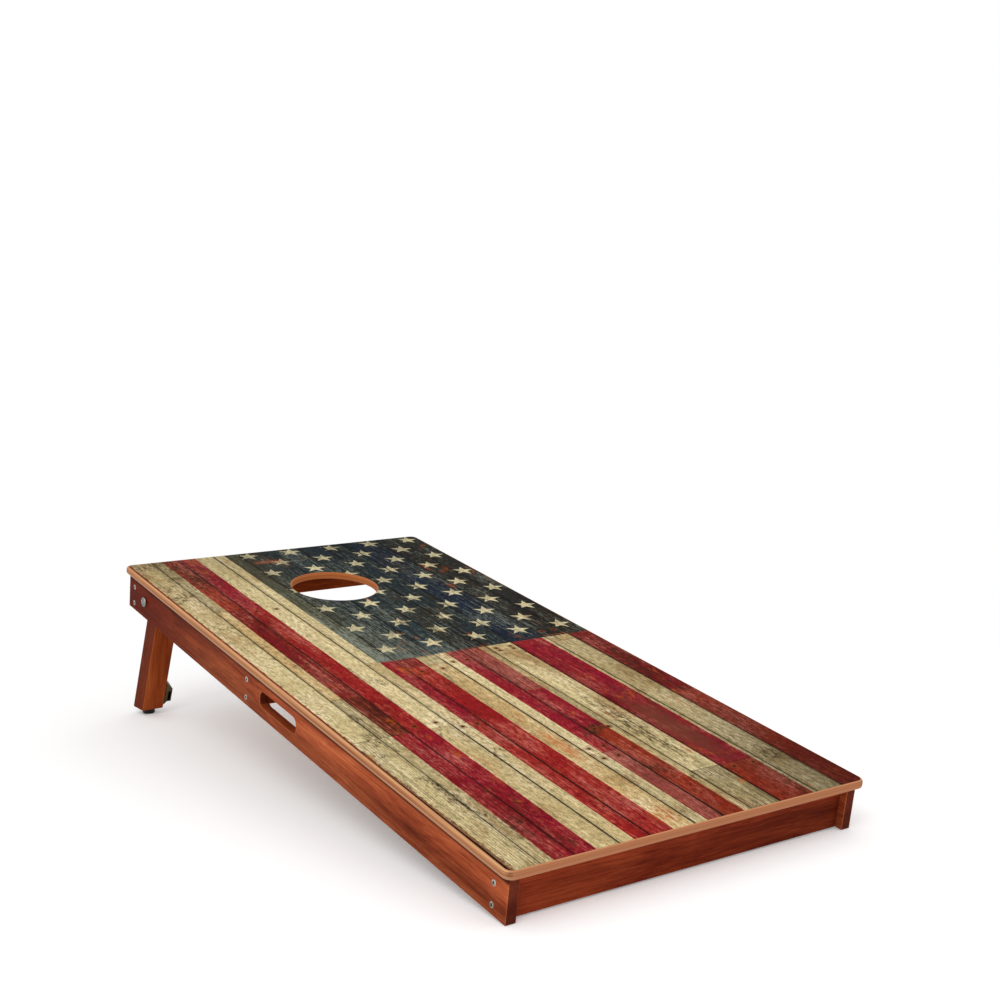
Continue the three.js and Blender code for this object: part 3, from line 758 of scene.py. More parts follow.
plywoodTones = {
    "plies": 5,
    "light": (204, 148, 104),
    "dark": (160, 92, 56),
    "lower": (196, 156, 128),
    "seam": (104, 52, 30),
    # Painted highlight on the rounded top edges, with some rubbed tone
    "wearAndHighlight": (224, 170, 120),
    "ends": (182, 118, 82),
    "veneer": (196, 150, 104),
    "veneerDark": (176, 128, 84),
    "hole": (206, 122, 66),
    "holeDark": (146, 74, 34),
    "holeWall": (0.0785, 0.08),
}


def plywoodFinish():
    finish, shader = newFinish("clearCoatedPlywood", roughness=0.4, Specular_IOR_Level=0.03)
    place = turnedPlace(deckTilt, (0, holeMiddle.y, deckLow.z))
    axes = split(place)
    layers = axes[2] * (plywoodTones["plies"] / (deckHigh.z - deckLow.z))
    waver = cloud(place, (6, 6, 40), 3, 0.6)
    layers = layers + (waver * 1.2 - 0.6)
    ply = sums("PINGPONG", layers, 1.0)
    cross = eased(ply, 0.3, 0.7)
    fine = cloud(place, (9, 9, 700), 3, 0.6)
    long = cloud(place, (4, 4, 240), 3, 0.6, 0.0, (5, 9, 2))
    streak = fine * 0.4 + long * 0.6
    mixed = clamped(cross * 0.3 + (streak * 2.4 - 0.95))
    edge = blend(mixed, plywoodTones["light"], plywoodTones["dark"])
    edge = blend(eased(abs(ply - 0.5), 0.08, 0.26, 0.6, 0.0), edge, plywoodTones["seam"])
    edge = blend(eased(axes[2], 0.003, 0.0055, 0.6, 0.0), edge, plywoodTones["lower"])
    facing = turnedNormal(deckTilt)
    rounded = facing[2]
    # Painted highlight on the rounded top edges, with some rubbed tone, left off the front edge
    wearAndHighlight = eased(rounded, 0.4, 0.75) * eased(fine, 0.3, 0.6, 0.45, 0.95)
    front = eased(facing[1], -0.75, -0.35, 1.0, 0.0)
    edge = blend(wearAndHighlight * (1.0 - front), edge, plywoodTones["wearAndHighlight"])
    # Painted shade: the front edge is darker towards its top.
    edge *= 1.0 - front * eased(axes[2], 0.002, 0.011, 0.0, 0.45)
    ends = eased(abs(facing[0]), 0.25, 0.6, 0.72, 0.0)
    edge = blend(ends, edge, plywoodTones["ends"])
    nearHole = eased(sums("LENGTH", combine(*axes[:2])), *plywoodTones["holeWall"], 0.85, 0.0)
    edge = blend(nearHole, edge, blend(mixed, plywoodTones["hole"], plywoodTones["holeDark"]))
    grain = cloud(place, (150, 3.5, 1), 5, 0.62, 0.8)
    face = blend(eased(grain, 0.3, 0.7), plywoodTones["veneerDark"], plywoodTones["veneer"])
    flat = eased(abs(rounded), 0.985, 0.999)
    paint(shader, blend(flat, edge, face), eased(streak, 0.3, 0.7, 0.38, 0.52), mixed, 0.00008, 0.4)
    return finish


# Stained wood, one finish for each way that the grain runs, and a lighter copy of the beam finish as painted
# light for the beams in shade

beamGrain = {"angle": deckTilt, "order": (1, 2, 0), "broadFace": 1, "lumps": (20, 20, 3.5), "contrast": 1.3}
stain = {
    "rail": {
        "angle": deckTilt,
        "order": (0, 2, 1),
        "broadFace": 0,
        "lumps": (22, 22, 3.6),
        "contrast": 1.5,
        # Painted shadow under the deck
        "overhangShadowLine": (0.0120, 0.0070, 0.85),
        # Painted shade towards the back end
        "paintedBackShade": (186, 132, 104),
        # Bands of painted light
        "paintedLightBands": {
            "edge": (0.048, 0.026),
            "along": 1,
            "reach": (-0.02, 0.22),
            "upper": (1.3, 1.0),
            "lower": (0.85, 0.74),
        },
        "tones": [(92, 34, 16), (132, 58, 32), (166, 84, 50), (194, 110, 68)],
    },
    "beam": {
        **beamGrain,
        # Painted shadow under the deck
        "overhangShadowLine": (0.0065, 0.0030, 0.6),
        # Bands of painted light
        "paintedLightBands": {
            "edge": (0.028, 0.012),
            "along": 0,
            "reach": (0.0, 0.22),
            "upper": (1.45, 1.3),
            "lower": (1.03, 0.74),
        },
        "tones": [(80, 24, 12), (112, 40, 22), (140, 58, 32), (164, 76, 44)],
    },
    # A lighter copy of the beam finish: painted light on the rear apron and the centre brace, which sit in
    # shade under the deck
    "innerBeam": {
        **beamGrain,
        "tones": [(100, 38, 16), (138, 60, 26), (172, 84, 38), (200, 110, 52)],
    },
    "leg": {
        "angle": legTilt,
        "order": (0, 1, 2),
        "broadFace": 0,
        # Painted shade on the broad side faces
        "paintedSideShade": (174, 148, 132),
        "lumps": (26, 26, 5),
        "contrast": 1.3,
        # Painted shade towards the back end
        "paintedBackShade": (226, 220, 216),
        "tones": [(124, 50, 20), (164, 76, 36), (192, 98, 50), (212, 118, 66)],
    },
}


def stainedFinish(name, given):
    finish, shader = newFinish(name, roughness=0.4, Specular_IOR_Level=0.015)
    place = turnedPlace(given["angle"])
    axes = split(place)
    facing = turnedNormal(given["angle"])
    grainPlace = combine(*(axes[index] for index in given["order"]))
    endGrain = eased(abs(facing[given["order"][2]]), 0.55, 0.85)
    bend = cloud(grainPlace, (9, 9, 2.6), 3, 0.5, 0.0, (4, 1, 8))
    bent = grainPlace + combine(bend * 0.06 - 0.03, 0.0, 0.0)
    broad = cloud(bent, given["lumps"], 4, 0.6, 0.8)
    rings = cloud(bent, (230, 230, 4), 4, 0.62, 0.8, (2, 6, 1))
    fibre = cloud(grainPlace, (900, 900, 18), 4, 0.7)
    pores = eased(cloud(grainPlace, (1500, 1500, 55), 2, 0.5), 0.3, 0.42, 0.0, 1.0)
    level = broad * given["contrast"] + (0.5 - given["contrast"] / 2)
    tone = clamped(level + (rings * 0.9 - 0.45))
    tone = clamped(tone + (fibre * 0.5 - 0.25))
    color = ramp(tone, list(zip((0.08, 0.36, 0.66, 0.95), given["tones"])))
    color = blend((1.0 - pores) * 0.5, color, (58, 18, 8))
    color = blend(endGrain * 0.85, color, (74, 26, 20))

    # A board's rounded edges are painted lighter: the stain rubbed thin there, and a painted highlight.
    across = abs(facing[given["broadFace"]])
    beside = sums("SQRT", clamped(1.0 - across * across))
    # Painted shade: the broad side faces are darker.
    if "paintedSideShade" in given:
        color = blend(eased(across, 0.8, 0.95), color, given["paintedSideShade"], "MULTIPLY")
    rounded = eased(sums("MAXIMUM", across, beside), 0.8, 0.97, 0.55, 0.0)
    color = blend(rounded, color, (204, 118, 66))
    # Painted shade: darker towards the back end.
    if "paintedBackShade" in given:
        color = blend(eased(axes[1], 0.1, 0.56), color, given["paintedBackShade"], "MULTIPLY")

    # Painted light: a board's upper band is lighter than its lower one, and each band changes along the
    # board.
    if "paintedLightBands" in given:
        paintedLightBands = given["paintedLightBands"]
        along = axes[paintedLightBands["along"]]
        lower, upper = (eased(along, *paintedLightBands["reach"], *paintedLightBands[word]) for word in ("lower", "upper"))
        farDown, nearDeck = paintedLightBands["edge"]
        color *= eased(axes[2], deckLow.z - farDown, deckLow.z - nearDeck, lower, upper)

    # Painted shadow: the outer faces are darker just under the deck, as in the shade of its overhang.
    if "overhangShadowLine" in given:
        low, high, most = given["overhangShadowLine"]
        outward = facing[given["broadFace"]] * sums("SIGN", axes[given["broadFace"]])
        paintedShadow = eased(axes[2], deckLow.z - low, deckLow.z - high, 0.0, most) * eased(outward, 0.2, 0.6)
        color = blend(paintedShadow, color, (30, 10, 6))
    paint(shader, color, eased(broad, 0.2, 0.8, 0.38, 0.52), fibre * 0.4 + pores, 0.0001, 0.5)
    return finish


# Metal and rubber

def zincFinish(name, dull, bright):
    finish, shader = newFinish(name, bright, 0.3, Metallic=1.0)
    place = turnedPlace(0.0)
    patches = cloud(place, (240, 240, 240), 4, 0.6)
    scratches = cloud(place, (2600, 900, 2600), 3, 0.6)
    color = blend(eased(patches, 0.36, 0.64), dull, bright)
    paint(shader, color, eased(scratches, 0.3, 0.7, 0.24, 0.42), scratches, 0.00004, 0.3)
    return finish


def bronzeFinish():
    finish, shader = newFinish("oliveBronze", (84, 74, 50), 0.42, Metallic=0.75)
    place = turnedPlace(legTilt)
    patches = cloud(place, (120, 120, 60), 4, 0.65, 0.5)
    fine = cloud(place, (1300, 1300, 700), 3, 0.7)
    color = blend(eased(patches, 0.3, 0.7), (66, 58, 40), (112, 98, 66))
    paint(shader, color, eased(fine, 0.3, 0.7, 0.34, 0.52), fine, 0.00005, 0.4)
    return finish


def rubberFinish():
    finish, shader = newFinish("blackRubber", (20, 19, 18), 0.62, Specular_IOR_Level=0.4)
    place = turnedPlace(0.0)
    dust = cloud(place, (300, 300, 300), 4, 0.7)
    fine = cloud(place, (2200, 2200, 2200), 2, 0.6)
    color = blend(eased(dust, 0.5, 0.8, 0.0, 0.5), (17, 16, 15), (58, 54, 48))
    paint(shader, color, eased(fine, 0.3, 0.7, 0.55, 0.72), fine, 0.00006, 0.5)
    return finish


# Deck panel with its toss hole

deck = {
    "cornerRadius": 0.014,
    "edgeRadius": 0.004,
    "holeRadius": 0.0762,
    "holeToBack": 0.2286,
    "holeEdgeRadius": 0.0025,
    "cornerSteps": 14,
    "holeSteps": 160,
    "edgeSteps": 8,
    "sheetProud": 0.00015,
    "frontInset": 0.0002,
}
holeMiddle = Vector((0, deckHigh.y - deck["holeToBack"]))
finishes = {
    "print": printFinish(),
    "plywood": plywoodFinish(),
    "zinc": zincFinish("brightZinc", (142, 138, 126), (208, 206, 198)),
    # Darker, bluish zinc for the pivot bolts: some tarnish, and a painted dark reflection
    "tarnishAndReflectionZinc": zincFinish("tarnishAndReflectionZinc", (54, 74, 76), (176, 178, 172)),
    "bronze": bronzeFinish(),
    "rubber": rubberFinish(),
}
for stainName, stainTones in stain.items():
    finishes[stainName] = stainedFinish(stainName + "Stain", stainTones)
print("Finishes mixed")


def addDeckPanel():
    top = sheetHigh.z - deck["sheetProud"]
    low = deckLow + Vector((0, deck["frontInset"], 0))
    outer = rectangle(low, deckHigh, deck["cornerRadius"], deck["cornerSteps"])
    hole = list(reversed(circle(holeMiddle, deck["holeRadius"], deck["holeSteps"])))
    loops = [(outer, deck["edgeRadius"]), (hole, deck["holeEdgeRadius"])]
    mesh = easedBoard("plywoodDeck", loops, top - deckLow.z, finishes["plywood"], deck["edgeSteps"])
    mesh.transform(deckTurn @ Matrix.Translation((0, 0, (top + deckLow.z) / 2)))
    addPiece("plywoodDeck", mesh, ["deck_panel"])


# Printed sheet: one face or more for each plank in the print, which also carry where they lie on their plank

def plankEnds(low, high, cuts):
    # The outer planks run on past the sheet's rim, so that no joint shows along it.
    return [low - printed["runOn"]] + cuts + [high + printed["runOn"]]


def between(steps, value):
    return next(pair for pair in zip(steps, steps[1:]) if pair[0] <= value <= pair[1])


def addPrintedSheet():
    chooser = random.Random(printed["seed"])
    outer = rectangle(sheetLow, sheetHigh, deck["cornerRadius"] - deck["edgeRadius"], deck["cornerSteps"])
    hole = circle(holeMiddle, deck["holeRadius"] + deck["holeEdgeRadius"], deck["holeSteps"])
    corners = [point.to_3d() for point in outer + hole]
    form = bmesh.new()
    vertices = [form.verts.new(corner) for corner in corners]
    for triangle in tessellate_polygon([corners[:len(outer)], corners[len(outer):]]):
        form.faces.new([vertices[index] for index in triangle])
    columns = plankEnds(sheetLow.x, sheetHigh.x, printed["plankEdges"])
    for x in columns[1:-1]:
        everything = form.verts[:] + form.edges[:] + form.faces[:]
        bmesh.ops.bisect_plane(form, geom=everything, plane_co=(x, 0, 0), plane_no=(1, 0, 0))
    rows = {}
    for left, right, cuts in zip(columns, columns[1:], printed["plankCuts"]):
        rows[left] = plankEnds(sheetLow.y, sheetHigh.y, cuts)
        for y in rows[left][1:-1]:
            faces = [face for face in form.faces if left < face.calc_center_median().x < right]
            edges = {edge for face in faces for edge in face.edges}
            points = {point for face in faces for point in face.verts}
            part = list(points) + list(edges) + faces
            bmesh.ops.bisect_plane(form, geom=part, plane_co=(0, y, 0), plane_no=(0, 1, 0))
    across = form.loops.layers.uv.new("acrossPlank")
    along = form.loops.layers.uv.new("alongPlank")
    luck = form.loops.layers.float_vector.new("plankChance")
    chances = {}
    for left in sorted(rows):
        for front in rows[left][:-1]:
            chances[(left, front)] = Vector([chooser.random() for axis in range(3)])
    for face in form.faces:
        face.normal_update()
        if face.normal.z < 0:
            face.normal_flip()
        middle = face.calc_center_median()
        left, right = between(columns, middle.x)
        front, back = between(rows[left], middle.y)
        for loop in face.loops:
            point = loop.vert.co
            loop[across].uv = (point.x - left, right - point.x)
            loop[along].uv = (point.y - front, back - point.y)
            loop[luck] = chances[(left, front)]
    mesh = bpy.data.meshes.new("weatheredPrint")
    form.to_mesh(mesh)
    form.free()
    mesh.materials.append(finishes["print"])
    sheet = addObject("weatheredPrint", mesh)
    wall = sheet.modifiers.new("thickness", "SOLIDIFY")
    wall.thickness = sheetHigh.z - sheetLow.z
    wall.offset = -1
    mesh = plainMesh(sheet, "weatheredPrint")
    mesh.transform(deckTurn @ Matrix.Translation((0, 0, sheetHigh.z)))
    addPiece("weatheredPrint", mesh, ["printed_sheet"])


# Side rails with their carrying slots and the countersunk holes for their screws

rail = {
    "cornerRadius": 0.0016,
    "edgeRadius": 0.0012,
    "slotLength": 0.120,
    "slotHeight": 0.0255,
    "slotCornerRadius": 0.011,
    "slotToBack": 0.6014,
    "slotDrop": 0.03378,
    "slotEdgeRadius": 0.0016,
    "edgeSteps": 4,
    "slotSteps": 10,
    "boreSteps": 40,
    "boreDepth": 0.03,
    "boreTop": 0.002,
}
frameScrew = {
    "head": 0.009,
    "headDepth": 0.0030,
    "shank": 0.0045,
    "length": 0.050,
    "tip": 0.006,
    "rim": 0.0003,
    "gap": 0.00025,
    "steps": 36,
    "places": ["front", "middle", "rear"],
    "rows": ["upper", "lower"],
    "recess": {"Recess Reach": 0.0046, "Recess Width": 0.0021, "Recess Depth": 0.0026},
}


def screwNodes(side):
    return [f"{side}_{place}_screw_{row}" for place in frameScrew["places"] for row in frameScrew["rows"]]


def marksOf(nodes, turn, aim, height=0.0):
    # Where the head of each node's screw starts, along turned axes, and which way it looks.
    axis = [abs(share) for share in aim].index(1)
    marks = []
    for nodeName in nodes:
        low, high = turnedBox(nodeName, turn)
        place = (low + high) / 2
        place[axis] = (high if aim[axis] > 0 else low)[axis] - aim[axis] * height
        marks.append((place, aim))
    return marks


def screwMarks(side):
    return marksOf(screwNodes(side), deckTurn, (sides[side], 0, 0))


def addRail(side):
    name = side + "Rail"
    low, high = turnedBox(side + "_side_rail", deckTurn)
    outer = rectangle((low.y, low.z), (high.y, high.z), rail["cornerRadius"])
    slotMiddle = Vector((deckHigh.y - rail["slotToBack"], high.z - rail["slotDrop"]))
    half = Vector((rail["slotLength"], rail["slotHeight"])) / 2
    slot = rectangle(slotMiddle - half, slotMiddle + half, rail["slotCornerRadius"], rail["slotSteps"])
    loops = [(outer, rail["edgeRadius"]), (list(reversed(slot)), rail["slotEdgeRadius"])]
    mesh = uprightBoard(name, loops, 0, low.x, high.x, finishes["rail"], rail["edgeSteps"])
    sink = frameScrew["head"] / 2 + frameScrew["gap"]
    bore = frameScrew["shank"] / 2 + frameScrew["gap"]
    depth = frameScrew["headDepth"] + frameScrew["gap"]
    end, top = -rail["boreDepth"], rail["boreTop"]
    profile = [(0, end), (bore, end), (bore, -depth), (sink, -frameScrew["rim"]), (sink, top), (0, top)]
    holes = turnedSet("holes", screwMarks(side), profile, finishes["rail"], rail["boreSteps"])
    mesh = without(mesh, holes, name)
    mesh.transform(deckTurn)
    addPiece(name, mesh, [side + "_side_rail"])


# Aprons and brace

beam = {"cornerRadius": 0.0018, "cornerSteps": 8, "edgeRadius": 0.0004, "edgeSteps": 2}


def addBeam(name, nodeName, stainName):
    low, high = turnedBox(nodeName, deckTurn)
    outline = rectangle((low.y, low.z), (high.y, high.z), beam["cornerRadius"], beam["cornerSteps"])
    loops = [(outline, beam["edgeRadius"])]
    mesh = uprightBoard(name, loops, 0, low.x, high.x, finishes[stainName], beam["edgeSteps"])
    mesh.transform(deckTurn)
    addPiece(name, mesh, [nodeName])


# Screws through the rails, and the screws that hold the strikes

fullTurn = 2 * math.pi
smallScrew = {
    "steps": 28,
    "domeShare": 0.5,
    "domeSteps": 6,
    "recessShares": {"Recess Reach": 0.55, "Recess Width": 0.15, "Recess Depth": 0.2},
    "strike": {"head": 0.006, "height": 0.0018, "shank": 0.003, "length": 0.010, "tip": 0.003},
    "catch": {"head": 0.0056, "height": 0.0018, "shank": 0.0028, "length": 0.026, "tip": 0.003},
    "foot": {"head": 0.008, "height": 0.0026, "shank": 0.004, "length": 0.024, "tip": 0.004},
}


def countersunkProfile():
    head = frameScrew["head"] / 2
    shank = frameScrew["shank"] / 2
    length = frameScrew["length"]
    return [
        (0, -length),
        (shank, frameScrew["tip"] - length),
        (shank, -frameScrew["headDepth"]),
        (head, -frameScrew["rim"]),
        (head - frameScrew["rim"], 0),
        (0, 0),
    ]


def panProfile(screw):
    # A pan head whose underside is at height 0.
    head = screw["head"] / 2
    shank = screw["shank"] / 2
    crown = screw["height"] * smallScrew["domeShare"]
    profile = [(0, -screw["length"]), (shank, screw["tip"] - screw["length"]), (shank, 0), (head, 0)]
    middle = (head - crown, screw["height"] - crown)
    profile += arc(middle, (crown, crown), 0, fullTurn / 4, smallScrew["domeSteps"])
    return profile + [(0, screw["height"])]


def addPanScrews(name, kind, nodes, turn, aim, body="board"):
    screw = smallScrew[kind]
    marks = marksOf(nodes, turn, aim, screw["height"])
    recess = {label: screw["head"] * share for label, share in smallScrew["recessShares"].items()}
    look = (finishes["zinc"], smallScrew["steps"], fullTurn, recess)
    mesh = turnedSet(name, marks, panProfile(screw), *look)
    mesh.transform(turn)
    addPiece(name, mesh, nodes, body, creases["screw"])


def addFrameScrews(side):
    name = side + "FrameScrews"
    look = (finishes["zinc"], frameScrew["steps"], fullTurn, frameScrew["recess"])
    mesh = turnedSet(name, screwMarks(side), countersunkProfile(), *look)
    mesh.transform(deckTurn)
    addPiece(name, mesh, screwNodes(side), crease=creases["screw"])


# Pivot bolt, spacer, washer and lock nut

pivot = {
    "headHeight": 0.0044,
    "rimHeight": 0.0011,
    "shankRadius": 0.004,
    "bore": 0.0043,
    "spacerRadius": 0.011,
    "washerRadius": 0.010,
    "nutSides": 6,
    "nutAcross": 0.013,
    "nutHeight": 0.005,
    "collarRadius": 0.0057,
    "edge": 0.0003,
    "domeSteps": 12,
    "boltSteps": 56,
    "ringSteps": 48,
    "collarSteps": 40,
}
pivots = {joint["child"].split("_")[0]: Vector(joint["pos_m"]) for joint in frame["joints"]}


def ringProfile(inner, outer, low, high, edge):
    return [
        (inner, low), (outer - edge, low), (outer, low + edge), (outer, high - edge), (outer - edge, high),
        (inner, high), (inner, low),
    ]


def addPivot(side):
    sign = sides[side]
    centre = pivots[side]
    outward = (sign, 0, 0)

    def mark(x):
        return [((x, centre.y, centre.z), outward)]

    low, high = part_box(side + "_pivot_bolt")
    tipX, headX = sorted((low.x, high.x), key=abs)
    radius = (high.z - low.z) / 2
    end = -abs(headX - tipX)
    shank, edge = pivot["shankRadius"], pivot["edge"]
    profile = [(0, end), (shank - edge, end), (shank, end + edge), (shank, -pivot["headHeight"])]
    profile.append((radius - edge, -pivot["headHeight"]))
    dome = pivot["headHeight"] - pivot["rimHeight"]
    profile += arc((0, -dome), (radius, dome), 0, fullTurn / 4, pivot["domeSteps"])[:-1] + [(0, 0)]
    bolt = turnedSet(side + "PivotBolt", mark(headX), profile, finishes["tarnishAndReflectionZinc"], pivot["boltSteps"])
    addPiece(side + "PivotBolt", bolt, [side + "_pivot_bolt"])

    rings = (("pivot_spacer", "PivotSpacer", "spacerRadius"), ("nut_washer", "NutWasher", "washerRadius"))
    for node, word, outer in rings:
        low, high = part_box(f"{side}_{node}")
        profile = ringProfile(pivot["bore"], pivot[outer], 0, high.x - low.x, pivot["edge"])
        inner = min((low.x, high.x), key=abs)
        mesh = turnedSet(side + word, mark(inner), profile, finishes["zinc"], pivot["ringSteps"])
        addPiece(side + word, mesh, [f"{side}_{node}"])

    # The lock nut: a hexagon on a round collar
    low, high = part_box(side + "_lock_nut")
    endX, faceX = sorted((low.x, high.x), key=abs)
    height = abs(faceX - endX)
    corner = pivot["nutAcross"] / 2 / math.cos(math.pi / pivot["nutSides"])
    chamfer = edge * 2
    shoulder = height - pivot["nutHeight"]
    hexProfile = ringProfile(pivot["bore"], corner, shoulder, height, chamfer)
    collarProfile = ringProfile(pivot["bore"], pivot["collarRadius"], 0, shoulder, chamfer)
    body = turnedSet("nutBody", mark(endX), hexProfile, finishes["zinc"], pivot["nutSides"])
    collar = turnedSet("nutCollar", mark(endX), collarProfile, finishes["zinc"], pivot["collarSteps"])
    nut = joined([body, collar], side + "LockNut")
    addPiece(side + "LockNut", nut, [side + "_lock_nut"])


# Legs with their feet and catches

leg = {
    "edgeRadius": 0.0016,
    "cornerRadius": 0.0022,
    "headSteps": 40,
    "edgeSteps": 5,
}
foot = {
    "radius": 0.011,
    "topRadius": 0.0108,
    "edgeRadius": 0.0016,
    "recessRadius": 0.0055,
    "recessDepth": 0.0055,
    "bore": 0.0023,
    "edgeSteps": 5,
    "steps": 56,
}
catch = {
    "lip": 0.003,
    "shoulder": 0.013,
    "toeLength": 0.006,
    "toeThickness": 0.0055,
    "mouthLength": 0.021,
    "mouthWidth": 0.006,
    "mouthDepth": 0.012,
    "sideWall": 0.0016,
    "endWall": 0.002,
    "edgeRadius": 0.0005,
    "cornerRadius": 0.0008,
    "cornerSteps": 4,
    "edgeSteps": 3,
}


def addLeg(side):
    centre = legTurn.inverted() @ pivots[side]
    low, high = turnedBox(side + "_leg", legTurn)
    half = (high.y - low.y) / 2
    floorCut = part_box(side + "_leg")[0].z

    def cutAt(y):
        return (floorCut - y * math.sin(legTilt)) / math.cos(legTilt)

    corners = [(low.y, cutAt(low.y), leg["cornerRadius"]), (high.y, cutAt(high.y), leg["cornerRadius"])]
    head = arc((centre.y, centre.z), (half, half), 0, math.pi, leg["headSteps"])
    outline = easedOutline(corners + [(y, z, 0) for y, z in head])
    loops = [(outline, leg["edgeRadius"])]
    mesh = uprightBoard(side + "Leg", loops, 0, low.x, high.x, finishes["leg"], leg["edgeSteps"])
    mesh.transform(legTurn)
    addPiece(side + "Leg", mesh, [side + "_leg"], side + "_leg_assembly")


def addFoot(side):
    low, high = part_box(side + "_foot")
    middle = (low + high) / 2
    edge = foot["edgeRadius"]
    recess = foot["recessRadius"]
    profile = [(foot["bore"], foot["recessDepth"]), (recess, foot["recessDepth"])]
    profile += [(recess, edge / 3), (recess + edge / 3, 0)]
    profile += arc((foot["radius"] - edge, edge), (edge, edge), -fullTurn / 4, 0, foot["edgeSteps"])
    profile += [(foot["topRadius"], high.z - edge / 2), (foot["topRadius"] - edge / 2, high.z)]
    profile += [(foot["bore"], high.z), profile[0]]
    marks = [((middle.x, middle.y, 0), (0, 0, 1))]
    mesh = turnedSet(side + "Foot", marks, profile, finishes["rubber"], foot["steps"])
    addPiece(side + "Foot", mesh, [side + "_foot"], side + "_leg_assembly", creases["foot"])
    nodes = [side + "_foot_screw"]
    addPanScrews(side + "FootScrew", "foot", nodes, Matrix(), (0, 0, -1), side + "_leg_assembly")


def addCatch(side):
    sign = sides[side]
    low, high = turnedBox(side + "_catch", legTurn)
    seat, face = sorted((low.x, high.x), key=abs, reverse=True)
    thickness = abs(seat - face)
    bottom = low.z + catch["toeLength"]
    ease = catch["cornerRadius"]
    corners = [
        (0, high.z, 0),
        (0, low.z, 0),
        (catch["toeThickness"], bottom, ease),
        (thickness, bottom, ease),
        (thickness, high.z - catch["shoulder"], ease),
        (catch["lip"], high.z, ease),
    ]
    corners = [(seat - sign * reach, z, radius) for reach, z, radius in corners]
    outline = anticlockwise(easedOutline(corners, catch["cornerSteps"]))
    bronze = finishes["bronze"]
    loops = [(outline, catch["edgeRadius"])]
    housing = uprightBoard("housing", loops, 1, low.y, high.y, bronze, catch["edgeSteps"])
    half = catch["mouthWidth"] / 2
    middle = seat - sign * (thickness - catch["sideWall"] - half)
    start = bottom + catch["endWall"]
    end = start + catch["mouthLength"]
    opening = rectangle((middle - half, start), (middle + half, end), ease, catch["cornerSteps"])
    depth = catch["mouthDepth"]
    mouth = uprightBoard("mouth", [(opening, 0.0)], 1, low.y - depth, low.y + depth, bronze, 1)
    mesh = without(housing, mouth, side + "Catch")
    mesh.transform(legTurn)
    addPiece(side + "Catch", mesh, [side + "_catch"], side + "_leg_assembly", creases["catch"])

    nodes = [f"{side}_catch_screw_{row}" for row in ("upper", "lower")]
    addPanScrews(side + "CatchScrews", "catch", nodes, legTurn, (-sign, 0, 0), side + "_leg_assembly")


# Strikes under the deck, bent from plate

strike = {
    "thickness": 0.002,
    "bendRadius": 0.0026,
    "innerRadius": 0.0006,
    "edgeRadius": 0.0003,
    "tipRadius": 0.0006,
    "cornerSteps": 5,
    "edgeSteps": 2,
}


def addStrike(side):
    sign = sides[side]
    low, high = turnedBox(side + "_strike", deckTurn)
    end, blade = sorted((low.x, high.x), key=abs)
    plate = strike["thickness"]
    corners = [
        (blade, high.z, strike["bendRadius"]),
        (end, high.z, strike["tipRadius"]),
        (end, high.z - plate, strike["tipRadius"]),
        (blade - sign * plate, high.z - plate, strike["innerRadius"]),
        (blade - sign * plate, low.z, strike["tipRadius"]),
        (blade, low.z, strike["tipRadius"]),
    ]
    outline = anticlockwise(easedOutline(corners, strike["cornerSteps"]))
    loops = [(outline, strike["edgeRadius"])]
    mesh = uprightBoard(side + "Strike", loops, 1, low.y, high.y, finishes["bronze"], strike["edgeSteps"])
    mesh.transform(deckTurn)
    addPiece(side + "Strike", mesh, [side + "_strike"])

    nodes = [f"{side}_strike_screw_{word}" for word in ("inner", "outer")]
    addPanScrews(side + "StrikeScrews", "strike", nodes, deckTurn, (0, 0, -1))


addDeckPanel()
addPrintedSheet()
print("Deck laid")
for beamName in ("front_apron", "centre_brace", "rear_apron"):
    words = beamName.split("_")
    addBeam(words[0] + words[1].capitalize(), beamName, "beam" if words[0] == "front" else "innerBeam")
for side in sides:
    addRail(side)
    addFrameScrews(side)
    addPivot(side)
    addStrike(side)
print("Frame built")
for side in sides:
    addLeg(side)
    addFoot(side)
    addCatch(side)
print("Legs hung")


# Floor, sky and lamps

studio = {
    "floorRadius": 9.0,
    "floorSteps": 96,
    "floorDrop": 0.0003,
    "floorShade": 0.9,
    "floorLift": 0.22,
    "fadeFrom": 0.9,
    "fadeTo": 1.9,
    "skyStrength": 0.78,
    "keyPlace": (-2.6, -2.2, 3.4),
    "keySize": 2.4,
    "keyPower": 58,
    "fillPlace": (2.4, -3.0, 2.0),
    "fillSize": 3.0,
    "fillPower": 14,
}


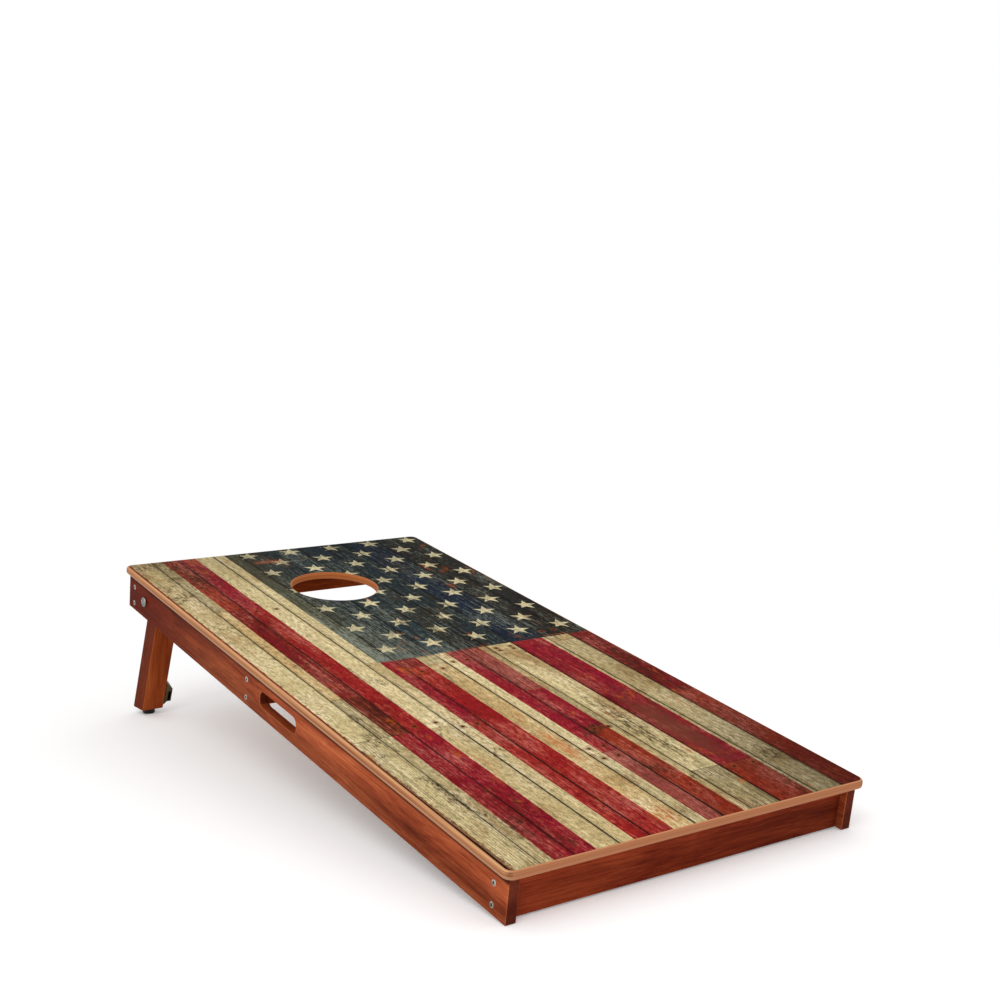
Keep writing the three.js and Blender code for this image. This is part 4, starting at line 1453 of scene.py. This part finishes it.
def addFloor():
    points = circle((0, 0), studio["floorRadius"], studio["floorSteps"])
    mesh = bpy.data.meshes.new("studioFloor")
    mesh.from_pydata([(point.x, point.y, -studio["floorDrop"]) for point in points], [], [range(len(points))])
    finish = bpy.data.materials.new("paleFloor")
    finish.use_nodes = True
    begin(finish.node_tree).nodes.clear()
    reach = sums("LENGTH", nodeValue(addNode("ShaderNodeTexCoord"), "Object"))
    far = eased(reach, studio["fadeFrom"], studio["fadeTo"])
    shade = studio["floorShade"]
    diffuse = addNode("ShaderNodeBsdfDiffuse", {"Color": (shade, shade, shade, 1)})
    seen = nodeValue(addNode("ShaderNodeLightPath"), "Is Camera Ray") * studio["floorLift"]
    lift = addNode("ShaderNodeEmission", {"Color": (1, 1, 1, 1), "Strength": seen})
    near = addNode("ShaderNodeAddShader", {0: diffuse, 1: lift})
    white = addNode("ShaderNodeEmission", {"Color": (1, 1, 1, 1), "Strength": 1.0})
    mixed = addNode("ShaderNodeMixShader", {0: far, 1: near, 2: white})
    below = addNode("ShaderNodeNewGeometry").outputs["Backfacing"]
    clear = addNode("ShaderNodeBsdfTransparent")
    sided = addNode("ShaderNodeMixShader", {0: below, 1: mixed, 2: clear})
    feed(addNode("ShaderNodeOutputMaterial").inputs[0], sided)
    mesh.materials.append(finish)
    addObject("studioFloor", mesh)


def addSky():
    sky = bpy.data.worlds.new("studioSky")
    sky.use_nodes = True
    begin(sky.node_tree).nodes.clear()
    ray = addNode("ShaderNodeLightPath").outputs
    seen = sums("MAXIMUM", ray["Is Camera Ray"], ray["Is Glossy Ray"])
    seen = sums("MAXIMUM", seen, ray["Is Transmission Ray"])
    strength = seen * (1 - studio["skyStrength"]) + studio["skyStrength"]
    back = addNode("ShaderNodeBackground", {"Color": (1, 1, 1, 1), "Strength": strength})
    feed(addNode("ShaderNodeOutputWorld").inputs[0], back)
    bpy.context.scene.world = sky


def addLamp(name, place, size, power):
    lamp = bpy.data.lights.new(name, "AREA")
    lamp.size = size
    lamp.energy = power
    holder = addObject(name, lamp)
    holder.location = place
    holder.rotation_euler = Vector(place).to_track_quat("Z", "Y").to_euler()


addCamera()
addFloor()
addSky()
addLamp("keyLamp", studio["keyPlace"], studio["keySize"], studio["keyPower"])
addLamp("fillLamp", studio["fillPlace"], studio["fillSize"], studio["fillPower"])
bpy.context.scene.view_settings.view_transform = "Standard"
print("Studio lit")
